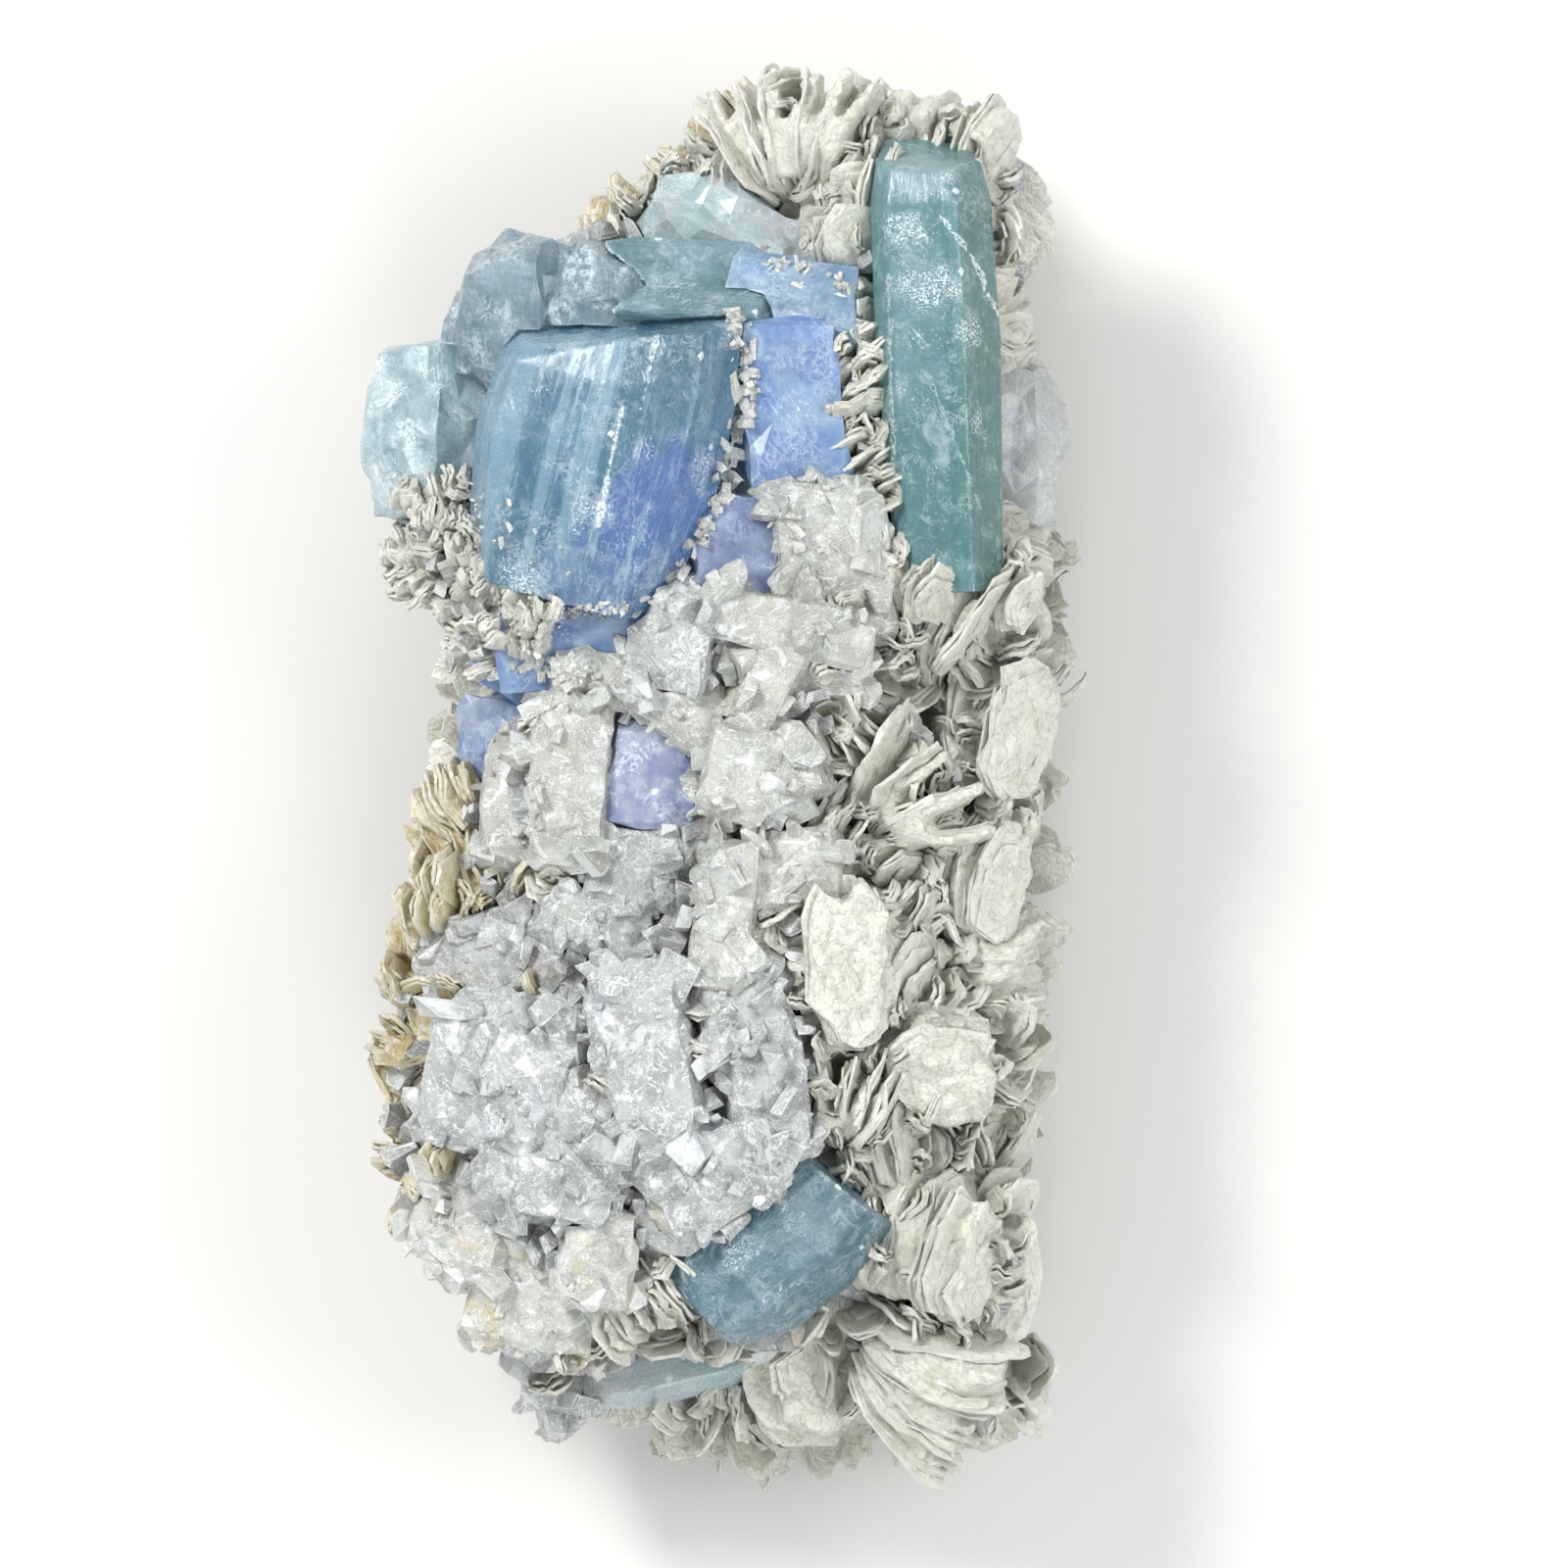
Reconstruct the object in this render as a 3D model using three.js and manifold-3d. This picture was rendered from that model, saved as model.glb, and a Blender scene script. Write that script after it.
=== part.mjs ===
// Aquamarine on matrix: beryl prisms and violet-blue fluorite on a lump of feldspar rock that is
// overgrown with white albite and books of muscovite mica, and cut flat at the back.
// Millimetres. The piece lies on its cut back: +Z leaves the cut, +Y runs along the length of the
// rock, and the origin is on the cut, under the middle of the whole piece.
import * as THREE from "three";
import { ConvexGeometry } from "three/addons/geometries/ConvexGeometry.js";
import { mergeVertices } from "three/addons/utils/BufferGeometryUtils.js";
import Module from "manifold-3d";

const wasm = await Module();
wasm.setup();

// Driving dimensions.
const rockLength = 108;
const rockMiddleY = -1;
const beltHeight = 9; // the rock is widest here, above the cut
const undercut = 5; // how far the full rock would reach below the cut
const rockRoughness = 1.1;
const clearance = 0.4; // gap between neighbouring pieces
const leastFacet = 0.16; // details finer than this are merged away, on the rock twice that
const plateCorners = 6; // corners of a mica plate's outline
const cornerShift = 0.35; // how far such a corner may lie off its even place, in spacings
const leastReach = 0.82; // how near the middle such a corner may lie
const reachSpread = 0.28;
const turnSpread = 2; // degrees that the turn of a plate varies
const plateLap = 1.06; // thickness of a plate that just reaches into the next, in steps
const seedsPerGroup = 7; // blocks of one group take consecutive seeds
const bluntness = 0.3; // 0 for a rock as round as a ball, 1 for one that widens evenly from its axis

// Cross-sections of the bare rock along its length: y, centre x, half width, height of the crest.
const rockSections = [
  [-56, 7, 11, 17],
  [-50, 4.5, 18, 22],
  [-40, 1, 21.5, 27],
  [-24, -0.5, 23.5, 30],
  [-8, 0.5, 23.5, 30],
  [6, 3.5, 21.5, 29],
  [22, 1, 24, 29],
  [35, 1, 21.5, 27],
  [45, 8.5, 14.5, 25],
  [54, 12, 8.5, 20],
];

const finishes = {
  rock: new THREE.MeshStandardMaterial({ color: "#c9c4b6", roughness: 0.85, metalness: 0 }),
  aquamarine: new THREE.MeshStandardMaterial({ color: "#6f9fa6", roughness: 0.2, metalness: 0 }),
  paleAquamarine: new THREE.MeshStandardMaterial({ color: "#a9c0c0", roughness: 0.25, metalness: 0 }),
  fluorite: new THREE.MeshStandardMaterial({ color: "#7088cf", roughness: 0.3, metalness: 0 }),
  albite: new THREE.MeshStandardMaterial({ color: "#dcdcd8", roughness: 0.55, metalness: 0 }),
  mica: new THREE.MeshStandardMaterial({ color: "#d3cebd", roughness: 0.4, metalness: 0 }),
  goldenMica: new THREE.MeshStandardMaterial({ color: "#cbb680", roughness: 0.4, metalness: 0 }),
};

// Crystals with a cross-section of their own. base is the middle of the lower end, grow runs along
// the crystal, and face is the way its first flat side looks. The outline is [across, towards face].
// Rings are [distance along, size], and slope tilts the last ring: [across, towards face].
const aquamarines = {
  aquamarine_tall: {
    base: [18.5, 14.6, 31.5], grow: [-0.055, 1, 0.05], face: [0.05, 0, 1],
    outline: [[-5, 1.4], [-3.7, 4.2], [1.9, 4.9], [5.1, 0.8], [3.5, -4.6], [-3.6, -4.6]],
    rings: [[0, 0.86], [20, 1.02], [31.5, 0.98], [35.4, 0.84]], slope: [-0.06, -0.3],
  },
  aquamarine_main: {
    base: [-12.9, 14, 33.4], grow: [0.25, 0.96, 0.1], face: [-0.04, -0.05, 1],
    outline: [[-8.2, 5.2], [-0.5, 6.8], [6.9, 6], [10, 1.2], [8, -8.4], [-7, -8.4], [-10.2, -1.5]],
    rings: [[0, 0.72], [5, 0.9], [12, 1.02], [18, 0.98], [22.6, 0.86]], slope: [0.29, -0.12],
  },
  aquamarine_left: {
    base: [-24.8, 21.2, 24.6], grow: [0.06, 1, 0.05], face: [-0.25, 0, 1],
    outline: [[-3.9, 4.2], [2.9, 6], [6.4, 1.4], [5.2, -6.2], [-3, -6.6], [-5.3, -1.4]],
    rings: [[0, 0.66], [3.5, 0.94], [8.5, 0.96], [13.6, 0.74]], slope: [0.14, -0.1],
  },
  aquamarine_lower: {
    base: [-1.9, -43.6, 28.4], grow: [0.74, 0.67, 0.05], face: [0.05, -0.1, 1],
    outline: [[-7, 2.2], [-2.6, 5.4], [3.6, 4.6], [7.2, 0.4], [4.6, -5.6], [-4.6, -5.6]],
    rings: [[0, 0.62], [4.6, 0.92], [10.5, 0.98], [15.6, 0.78]], slope: [0.1, 0],
  },
  aquamarine_bottom: {
    base: [-11.6, -50.9, 16.4], grow: [0.97, 0.22, 0.02], face: [0, -0.35, 1],
    outline: [[-2.4, 2], [0, 3.8], [2.3, 2.4], [2.5, -2.6], [0, -4], [-2.4, -2.4]],
    rings: [[0, 0.7], [6, 1], [12, 0.95], [16, 0.6]], slope: [0, 0],
  },
  aquamarine_upper: {
    base: [-5.4, 46.8, 25.2], grow: [0.86, -0.48, 0.12], face: [-0.1, 0.1, 1],
    outline: [[-3.6, 2.8], [0.4, 4], [3.6, 2.2], [3.8, -3], [0, -4.4], [-3.6, -3]],
    rings: [[0, 0.62], [4, 1], [12, 0.95], [15.8, 0.66]], slope: [0, -0.1],
  },
  aquamarine_behind_tall: {
    base: [24, 20.5, 22.8], grow: [0.01, 1, 0.02], face: [0.45, 0, 1],
    outline: [[-3.4, 2.4], [0, 3.8], [3.2, 2], [3.4, -2.4], [0, -4], [-3.4, -2.4]],
    rings: [[0, 0.8], [7, 1], [13, 0.8]], slope: [0, -0.2],
  },
};

// Chipped blocks: at is the middle, grow runs along the length, face is the way the broad side
// looks, and size is [length, width, thickness]. chip is the share of each size cut off a corner.
const blocks = {
  aquamarine_back: [
    { at: [-15.6, 37.4, 28.4], grow: [-0.05, 1, 0.15], face: [-0.35, 0, 1], size: [12, 8.4, 11], chip: 0.3 },
    { at: [-10, 38.2, 29.8], grow: [0.5, 1, 0.1], face: [-0.1, 0.2, 1], size: [8, 8, 10], chip: 0.34 },
    { at: [-19.6, 34.4, 26], grow: [0.5, 1, 0], face: [-0.6, 0, 1], size: [6.4, 5, 8], chip: 0.3 },
  ],
  aquamarine_green: [
    { at: [-2.8, 37.8, 30.4], grow: [1, -0.06, -0.06], face: [0.1, 0.45, 1], size: [14, 9, 9], chip: 0.26 },
  ],
  fluorite_upper: [
    { at: [5.6, 37.4, 29.6], grow: [1, -0.12, -0.05], face: [0, 0.2, 1], size: [11.6, 6.2, 10], chip: 0.16 },
  ],
  fluorite_right: [
    { at: [5, 29.4, 30.2], grow: [-0.1, 1, 0.05], face: [0.2, 0, 1], size: [14, 7.6, 12], chip: 0.16 },
  ],
  fluorite_low_right: [
    { at: [0.6, 18.4, 31.2], grow: [0.15, 1, 0], face: [0.15, 0, 1], size: [7.6, 6.4, 10], chip: 0.14 },
  ],
  fluorite_low: [
    { at: [-10.6, 11.4, 29], grow: [1, 0.1, 0.05], face: [0, -0.3, 1], size: [14.4, 7, 9.4], chip: 0.15 },
    { at: [-15.8, 9, 25.8], grow: [0.9, -0.5, 0.1], face: [-0.2, -0.3, 1], size: [7, 5, 8], chip: 0.2 },
  ],
  fluorite_left: [
    { at: [-17.6, 2.6, 22.4], grow: [0.05, 1, 0], face: [-0.35, 0, 1], size: [6.4, 5.8, 7], chip: 0.12 },
  ],
  fluorite_middle: [
    { at: [-6, -0.4, 29.4], grow: [0.1, 1, 0], face: [0.1, 0.1, 1], size: [7.8, 6.8, 7.6], chip: 0.14 },
  ],
  fluorite_lilac: [
    { at: [-19.2, 12.8, 21.8], grow: [0.7, -1, 0], face: [-0.6, 0, 1], size: [5, 3.6, 5], chip: 0.28 },
  ],
  albite_pointed: [
    { at: [8.4, 17.2, 32.4], grow: [-0.2, 1, 0.12], face: [0.1, 0, 1], size: [14.6, 8.8, 9], chip: 0.32 },
  ],
  albite_rough_lump: [
    { at: [-3.6, 11.2, 32.2], grow: [0.1, 1, 0], face: [-0.1, 0, 1], size: [9, 7.6, 9], chip: 0.34 },
  ],
  albite_cross_blades: [
    { at: [5, 11.8, 35.6], grow: [1, -0.22, 0.05], face: [0, -0.2, 1], size: [14.4, 4.4, 3.6], chip: 0.26 },
    { at: [6.6, 8.6, 33.6], grow: [1, -0.05, 0], face: [0, -0.45, 1], size: [12, 3.4, 4], chip: 0.28 },
    { at: [3.8, 6.2, 34.8], grow: [0.52, 1, 0.12], face: [-0.3, 0.1, 1],
      size: [12.6, 3.4, 4.4], chip: 0.24 },
  ],
  albite_diagonal: [
    { at: [-10.2, 8, 31.2], grow: [1, -0.05, 0], face: [0, 0.2, 1], size: [8, 4.6, 6], chip: 0.2 },
    { at: [-2.8, 4.8, 31.8], grow: [0.8, -0.62, 0], face: [0.1, 0.2, 1], size: [14.4, 5.4, 7], chip: 0.26 },
  ],
  albite_tall_block: [
    { at: [-12.1, -0.4, 31], grow: [0.04, 1, 0.04], face: [-0.08, 0, 1], size: [13.4, 6, 8], chip: 0.2 },
    { at: [-16, -3, 26.8], grow: [0.1, 1, 0], face: [-0.5, 0, 1], size: [12.5, 5, 8], chip: 0.34 },
  ],
  albite_knot: [
    { at: [1.4, 0.2, 34.4], grow: [0.3, 1, 0.1], face: [0.1, 0.3, 1], size: [7.4, 5.2, 7], chip: 0.16 },
    { at: [4.6, -0.8, 34], grow: [1, 0.45, 0.2], face: [0, 0.2, 1], size: [7.4, 4.6, 7], chip: 0.16 },
  ],
  albite_grey_lump: [
    { at: [-5, -8.2, 30.2], grow: [1, -0.15, 0], face: [0, 0.1, 1], size: [10.8, 7.2, 7], chip: 0.34 },
    { at: [-12, -12.4, 30.2], grow: [1, -0.35, 0], face: [0, 0.1, 1], size: [6.4, 4.6, 6], chip: 0.34 },
    { at: [-7.8, -12.8, 30.4], grow: [0.5, -1, 0.1], face: [0.1, 0.1, 1], size: [6.8, 4.2, 6], chip: 0.3 },
  ],
  albite_finger: [
    { at: [0.4, -11.2, 35], grow: [0.1, 1, 0.08], face: [0.05, -0.1, 1], size: [12, 4.6, 4.8], chip: 0.22 },
    { at: [5.8, -8, 32.6], grow: [1, 0.1, 0], face: [0, 0.1, 1], size: [8.4, 6, 7], chip: 0.3 },
  ],
  albite_left_slab: [
    { at: [-17.8, -16.2, 26.4], grow: [0.9, 0.42, 0.2], face: [-0.4, 0.1, 1],
      size: [12.8, 8.2, 7], chip: 0.28 },
  ],
  albite_diamond: [
    { at: [-5.8, -23, 34.2], grow: [0.12, -1, 0], face: [-0.15, 0.1, 1],
      size: [15.4, 8.8, 6.4], chip: 0.34 },
  ],
  albite_right_lobe: [
    { at: [1.8, -20.4, 32], grow: [0.2, -1, 0], face: [0.1, 0, 1], size: [10, 7, 7.4], chip: 0.3 },
    { at: [3, -26.8, 31.8], grow: [0.1, -1, 0], face: [0.3, 0, 1], size: [11, 7.2, 8], chip: 0.28 },
  ],
  albite_lower_lobe: [
    { at: [-1, -32, 32.4], grow: [0.9, 0.4, 0], face: [0.05, -0.15, 1], size: [11.6, 8.4, 8.4], chip: 0.3 },
    { at: [-4, -35.8, 30.6], grow: [1, -0.5, 0], face: [0, -0.3, 1], size: [6, 4.6, 6.6], chip: 0.3 },
  ],
  albite_left_mass: [
    { at: [-16.8, -24.6, 28.4], grow: [0.2, 1, 0], face: [-0.3, 0.05, 1],
      size: [13.4, 12.6, 12], chip: 0.32 },
    { at: [-13.2, -31, 30.2], grow: [0.3, 1, 0], face: [-0.15, -0.05, 1], size: [12, 10.8, 10], chip: 0.32 },
  ],
  albite_low_left: [
    { at: [-18.8, -35.8, 23.4], grow: [0.2, 1, 0], face: [-0.5, 0, 1], size: [13, 10.4, 12], chip: 0.32 },
    { at: [-14.4, -43, 23.6], grow: [0.35, 1, 0], face: [-0.2, -0.2, 1],
      size: [10.6, 10.4, 11], chip: 0.34 },
    { at: [-10.4, -38.8, 30.4], grow: [0.1, 1, 0.1], face: [0.1, 0, 1], size: [8, 5.8, 7], chip: 0.2 },
  ],
  albite_foot: [
    { at: [-13.6, -48.4, 14.4], grow: [-0.04, -1, 0], face: [-0.1, -0.2, 1], size: [8.6, 6, 9], chip: 0.34 },
    { at: [-13.5, -52, 14.6], grow: [0.02, -1, 0], face: [0, -0.2, 1], size: [5.6, 2.6, 4.6], chip: 0.34 },
  ],
};

// Books of mica: plates that stand in rows. at is the root of the middle plate, grow runs from a
// plate's root to its tip, and face looks across the plates. reach is the half length, half width
// and thickness of a plate. Each plate is a step further along face and a slide further along
// grow than the last, and turned by fan degrees about the roots.
const books = {
  mica_top_fan: {
    at: [6.4, 46.6, 27], grow: [-0.06, 1, 0.12], face: [1, 0.05, 0.3], plates: 6,
    reach: [5.7, 4.2, 1.5], step: 0.6, slide: 0, fan: 13,
  },
  mica_top_left: {
    at: [0.4, 45.2, 24], grow: [-0.5, 0.85, 0.05], face: [0.7, 0.4, 0.6], plates: 5,
    reach: [3.6, 3.4, 1.5], step: 1.3, slide: 0, fan: 11,
  },
  mica_top_right: {
    at: [16.8, 47.6, 26.6], grow: [0.1, 1, 0.06], face: [1, -0.1, 0.4], plates: 5,
    reach: [4.1, 4, 1.6], step: 2.2, slide: -0.2, fan: 5,
  },
  mica_right_top: {
    at: [19.8, 44.8, 25], grow: [1, 0.05, 0], face: [0.1, -0.6, 1], plates: 4,
    reach: [3.6, 3.6, 1.4], step: 1.9, slide: -0.3, fan: 8,
  },
  mica_right_upper: {
    at: [19.4, 35, 21.4], grow: [1, 0, 0.15], face: [-0.1, 1, 0.4], plates: 4,
    reach: [3.4, 4.2, 1.6], step: 2.6, slide: -0.4, fan: 3,
  },
  mica_right_middle: {
    at: [20, 16.4, 22.6], grow: [1, 0, 0.1], face: [0.1, -1, 0.6], plates: 4,
    reach: [3.6, 4.4, 1.6], step: 2.7, slide: 0, fan: 5,
  },
  mica_beside_tall: {
    at: [10.2, 28, 28.4], grow: [-0.1, 0.7, 0.55], face: [0.45, 0.8, 0.35], plates: 5,
    reach: [2.8, 2.6, 1.4], step: 2.5, slide: -0.4, fan: 3,
  },
  mica_below_tall: {
    at: [15, 8.6, 28.6], grow: [0.06, 1, 0.3], face: [1, -0.1, 0.4], plates: 5,
    reach: [5.6, 4, 1.3], step: 1.4, slide: 0, fan: 13,
  },
  mica_shell_high: {
    at: [20.4, -2.2, 23.4], grow: [0.1, 1, 0], face: [0.8, 0.1, 0.65], plates: 4,
    reach: [6, 4.6, 1.6], step: 2.6, slide: 0.2, fan: 3,
  },
  mica_arc: {
    at: [11.6, -4.6, 28.4], grow: [0.55, 0.75, 0.3], face: [0.75, -0.6, 0.35], plates: 6,
    reach: [5.6, 4, 1.5], step: 0.8, slide: 0, fan: 18,
  },
  mica_pocket: {
    at: [7.6, 3, 29], grow: [0.3, -0.5, 0.8], face: [0.7, 0.4, 0.2], plates: 4,
    reach: [2.8, 2.6, 1], step: 1.3, slide: 0, fan: 15,
  },
  mica_shell_middle: {
    at: [18.8, -13.6, 24.4], grow: [0.04, 1, 0.05], face: [0.75, 0.05, 0.65], plates: 4,
    reach: [5.4, 4.2, 1.5], step: 2.5, slide: 0.2, fan: 4,
  },
  mica_column: {
    at: [10.4, -22.4, 33.2], grow: [0, 1, 0.05], face: [0.3, 0.05, 1], plates: 3,
    reach: [7, 3.2, 1.4], step: 1.7, slide: 0.4, fan: 3,
  },
  mica_right_book: {
    at: [18.6, -15.8, 24.6], grow: [1, 0, 0], face: [0, 0.9, 0.55], plates: 4,
    reach: [4.1, 3.8, 1.3], step: 1.4, slide: 0, fan: 4,
  },
  mica_shell_low: {
    at: [13.2, -23.6, 27.6], grow: [1, 0.1, -0.1], face: [0.25, -0.55, 0.8], plates: 4,
    reach: [4.6, 5, 1.4], step: 2.3, slide: 0.1, fan: 3,
  },
  mica_thin_fan: {
    at: [9, -30, 28.6], grow: [0.1, 0.8, 0.6], face: [1, -0.1, 0.1], plates: 5,
    reach: [4.2, 2.6, 1], step: 1.1, slide: 0, fan: 11,
  },
  mica_low_middle: {
    at: [15.2, -43.4, 25], grow: [0.1, 1, 0.25], face: [1, -0.15, 0.5], plates: 4,
    reach: [5.9, 4, 1.4], step: 2.7, slide: -0.4, fan: 5,
  },
  mica_low_right: {
    at: [20.2, -47, 18.4], grow: [-0.03, 1, 0.05], face: [0.85, 0, 0.55], plates: 3,
    reach: [6, 4.8, 1.6], step: 2.8, slide: -0.2, fan: 3,
  },
  mica_bottom_fan: {
    at: [11.8, -46.8, 22.4], grow: [0.8, -0.52, 0.05], face: [0.5, 0.7, 0.5], plates: 6,
    reach: [6.6, 4, 1.4], step: 0.8, slide: 0, fan: 7,
  },
  mica_bottom_middle: {
    at: [7.4, -47.4, 15.6], grow: [-0.1, -1, 0], face: [0.25, -0.25, 0.95], plates: 4,
    reach: [4.2, 5.2, 1.4], step: 2.2, slide: -0.5, fan: 4,
  },
  mica_bottom_right: {
    at: [20.8, -49, 12.6], grow: [0.16, -1, 0.05], face: [0.8, 0.1, 0.5], plates: 4,
    reach: [3.9, 4.4, 1.5], step: 2, slide: -0.2, fan: 5,
  },
  mica_pocket_low: {
    at: [-6.2, -41, 26.6], grow: [0.3, -0.4, 0.8], face: [0.8, 0.6, 0.1], plates: 5,
    reach: [3.2, 3, 1], step: 1.3, slide: 0, fan: 12,
  },
  golden_mica_high: {
    at: [-18.4, -10.8, 23.6], grow: [-0.36, 1, 0.1], face: [0.9, 0.45, 0.3], plates: 6,
    reach: [4.9, 3.6, 1.1], step: 0.6, slide: 0, fan: 9,
  },
  golden_mica_middle: {
    at: [-21.2, -19.6, 19.6], grow: [-0.5, 0.8, 0.05], face: [0.9, 0.4, 0.4], plates: 5,
    reach: [4, 3.8, 1.2], step: 0.9, slide: 0, fan: 9,
  },
  golden_mica_low: {
    at: [-21.4, -28, 18.4], grow: [-0.42, 1, 0], face: [0.85, 0.3, 0.45], plates: 5,
    reach: [4.2, 4.2, 1.3], step: 1.3, slide: 0, fan: 7,
  },
  mica_under_left: {
    at: [-15.6, 15.6, 24.6], grow: [-0.8, 0.5, 0], face: [0.3, 0.45, 0.85], plates: 4,
    reach: [5.4, 4.4, 1.4], step: 2.2, slide: 0, fan: 7,
  },
};

// The same number between 0 and 1 for the same seeds, every time: the last digits of a large sine.
function chance(...seeds) {
  const [offset, first, apart, large] = [1.37, 12.9898, 31.73, 43758.5453];
  const mixed = seeds.reduce((sum, seed, i) => sum + (seed + offset) * (first + apart * i), 0);
  const scaled = Math.sin(mixed) * large;
  return scaled - Math.floor(scaled);
}

// A turn and a move that carry local x across, y along grow and z towards face.
function standing(at, grow, face) {
  const along = new THREE.Vector3(...grow).normalize();
  const out = new THREE.Vector3(...face);
  out.addScaledVector(along, -out.dot(along)).normalize();
  const across = new THREE.Vector3().crossVectors(along, out);
  return new THREE.Matrix4().makeBasis(across, along, out).setPosition(...at);
}

// A closed geometry as a solid that can be joined and cut.
function solidOf(geometry) {
  const bare = new THREE.BufferGeometry().setAttribute("position", geometry.getAttribute("position"));
  const index = geometry.index;
  const merged = mergeVertices(index ? bare.setIndex(index) : bare, 1e-4);
  return new wasm.Manifold(new wasm.Mesh({
    numProp: 3,
    vertProperties: merged.attributes.position.array,
    triVerts: new Uint32Array(merged.index.array),
  }));
}

// A crystal: its outline is repeated at each ring, and the hull of all rings has flat faces.
function crystal({ base, grow, face, outline, rings, slope }, extra) {
  const last = rings.length - 1;
  const points = rings.flatMap(([along, size], ring) => outline.map(([across, out]) => {
    const radius = Math.hypot(across, out);
    const wider = (radius * size + extra) / radius;
    const end = ring === 0 ? -extra : ring === last ? extra : 0;
    const tilt = ring === last ? slope[0] * across + slope[1] * out : 0;
    return new THREE.Vector3(across * wider, along + end + tilt, out * wider);
  }));
  return new ConvexGeometry(points).applyMatrix4(standing(base, grow, face));
}

// A block whose eight corners are each cut off to two uneven points.
function chippedBlock({ at, grow, face, size, chip }, seed, extra) {
  const half = [size[1] / 2 + extra, size[0] / 2 + extra, size[2] / 2 + extra];
  const points = [];
  for (let corner = 0; corner < 8; corner += 1) {
    const signs = [corner & 1 ? 1 : -1, corner & 2 ? 1 : -1, corner & 4 ? 1 : -1];
    const kept = Math.floor(3 * chance(seed, corner, 5));
    for (const axis of [kept, (kept + 1) % 3]) {
      const point = signs.map((sign, i) => {
        const cut = i === axis ? 0 : chip * (0.5 + chance(seed, corner, axis, i));
        return sign * half[i] * (1 - cut);
      });
      points.push(new THREE.Vector3(...point));
    }
  }
  return new ConvexGeometry(points).applyMatrix4(standing(at, grow, face));
}

// One mica plate: an uneven, rounded outline from the root to the tip, and its thickness.
function plate([halfLength, halfWidth], thickness, seed, number, extra) {
  const points = [];
  for (let i = 0; i < plateCorners; i += 1) {
    const angle = (2 * Math.PI * (i + cornerShift * chance(seed, number, i))) / plateCorners;
    const reach = leastReach + reachSpread * chance(seed, number, i, 3);
    points.push(new THREE.Vector2(
      Math.sin(-angle) * (halfWidth * reach + extra),
      halfLength + Math.cos(angle) * (halfLength * reach + extra),
    ));
  }
  const depth = thickness + 2 * extra;
  const geometry = new THREE.ExtrudeGeometry(new THREE.Shape(points), { depth, bevelEnabled: false });
  return geometry.translate(0, 0, -depth / 2);
}

// The plates of one book, each in its place. They are thick enough to touch their neighbours.
function bookPlates(book, seed, extra) {
  const middle = (book.plates - 1) / 2;
  const whole = standing(book.at, book.grow, book.face);
  const thickness = Math.max(book.reach[2], book.step * plateLap);
  return Array.from({ length: book.plates }, (_, i) => {
    const turn = (i - middle) * book.fan + turnSpread * (chance(seed, i, 9) - 0.5);
    const place = new THREE.Matrix4()
      .makeTranslation(0, (i - middle) * book.slide, (i - middle) * book.step)
      .multiply(new THREE.Matrix4().makeRotationX(THREE.MathUtils.degToRad(turn)));
    return plate(book.reach, thickness, seed, i, extra).applyMatrix4(place).applyMatrix4(whole);
  });
}

// The hull around a set of geometries.
function hullOf(geometries) {
  const points = geometries.flatMap((geometry) => {
    const position = geometry.getAttribute("position");
    const vertices = Array.from({ length: position.count });
    return vertices.map((_, i) => new THREE.Vector3().fromBufferAttribute(position, i));
  });
  return new ConvexGeometry(points);
}

// The bare rock's centre, half width and crest height at one place along its length.
function rockSection(y) {
  const last = rockSections.length - 1;
  const found = rockSections.findIndex((row) => row[0] > y);
  const upper = found === -1 ? last : Math.max(found, 1);
  const [from, to] = [rockSections[upper - 1], rockSections[upper]];
  const share = THREE.MathUtils.smoothstep(y, from[0], to[0]);
  return from.slice(1).map((value, i) => THREE.MathUtils.lerp(value, to[i + 1], share));
}

// The rock: a ball drawn out to the sections above, roughened, and cut flat at the back.
function rockGeometry() {
  const geometry = new THREE.IcosahedronGeometry(1, 4);
  const position = geometry.getAttribute("position");
  const point = new THREE.Vector3();
  for (let i = 0; i < position.count; i += 1) {
    point.fromBufferAttribute(position, i);
    const y = rockMiddleY + (rockLength / 2) * point.y;
    const rim = Math.hypot(point.x, point.z);
    const [centre, halfWidth, crest] = rockSection(y);
    const fullness = rim > 1e-6 ? rim ** bluntness / rim : 0;
    const rise = point.z > 0 ? crest - beltHeight : beltHeight + undercut;
    const wave = Math.sin(y * 0.61 + point.x * 5) + Math.sin(point.z * 6.3 + y * 0.37)
      + Math.sin(point.x * 9.1 - y * 0.83);
    const rough = 1 + (rockRoughness * wave) / (3 * halfWidth);
    position.setXYZ(
      i,
      centre + halfWidth * fullness * point.x * rough,
      y,
      beltHeight + rise * fullness * point.z * rough,
    );
  }
  return geometry;
}

const group = new THREE.Group();
const taken = [];

function boxesMeet(a, b) {
  return [0, 1, 2].every((i) => a.min[i] < b.max[i] && b.min[i] < a.max[i]);
}

function joined(geometries) {
  return geometries.map(solidOf).reduce((sum, next) => sum.add(next));
}

function largestBody(solid) {
  return solid.decompose().reduce((best, next) => (next.volume() > best.volume() ? next : best));
}

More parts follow.
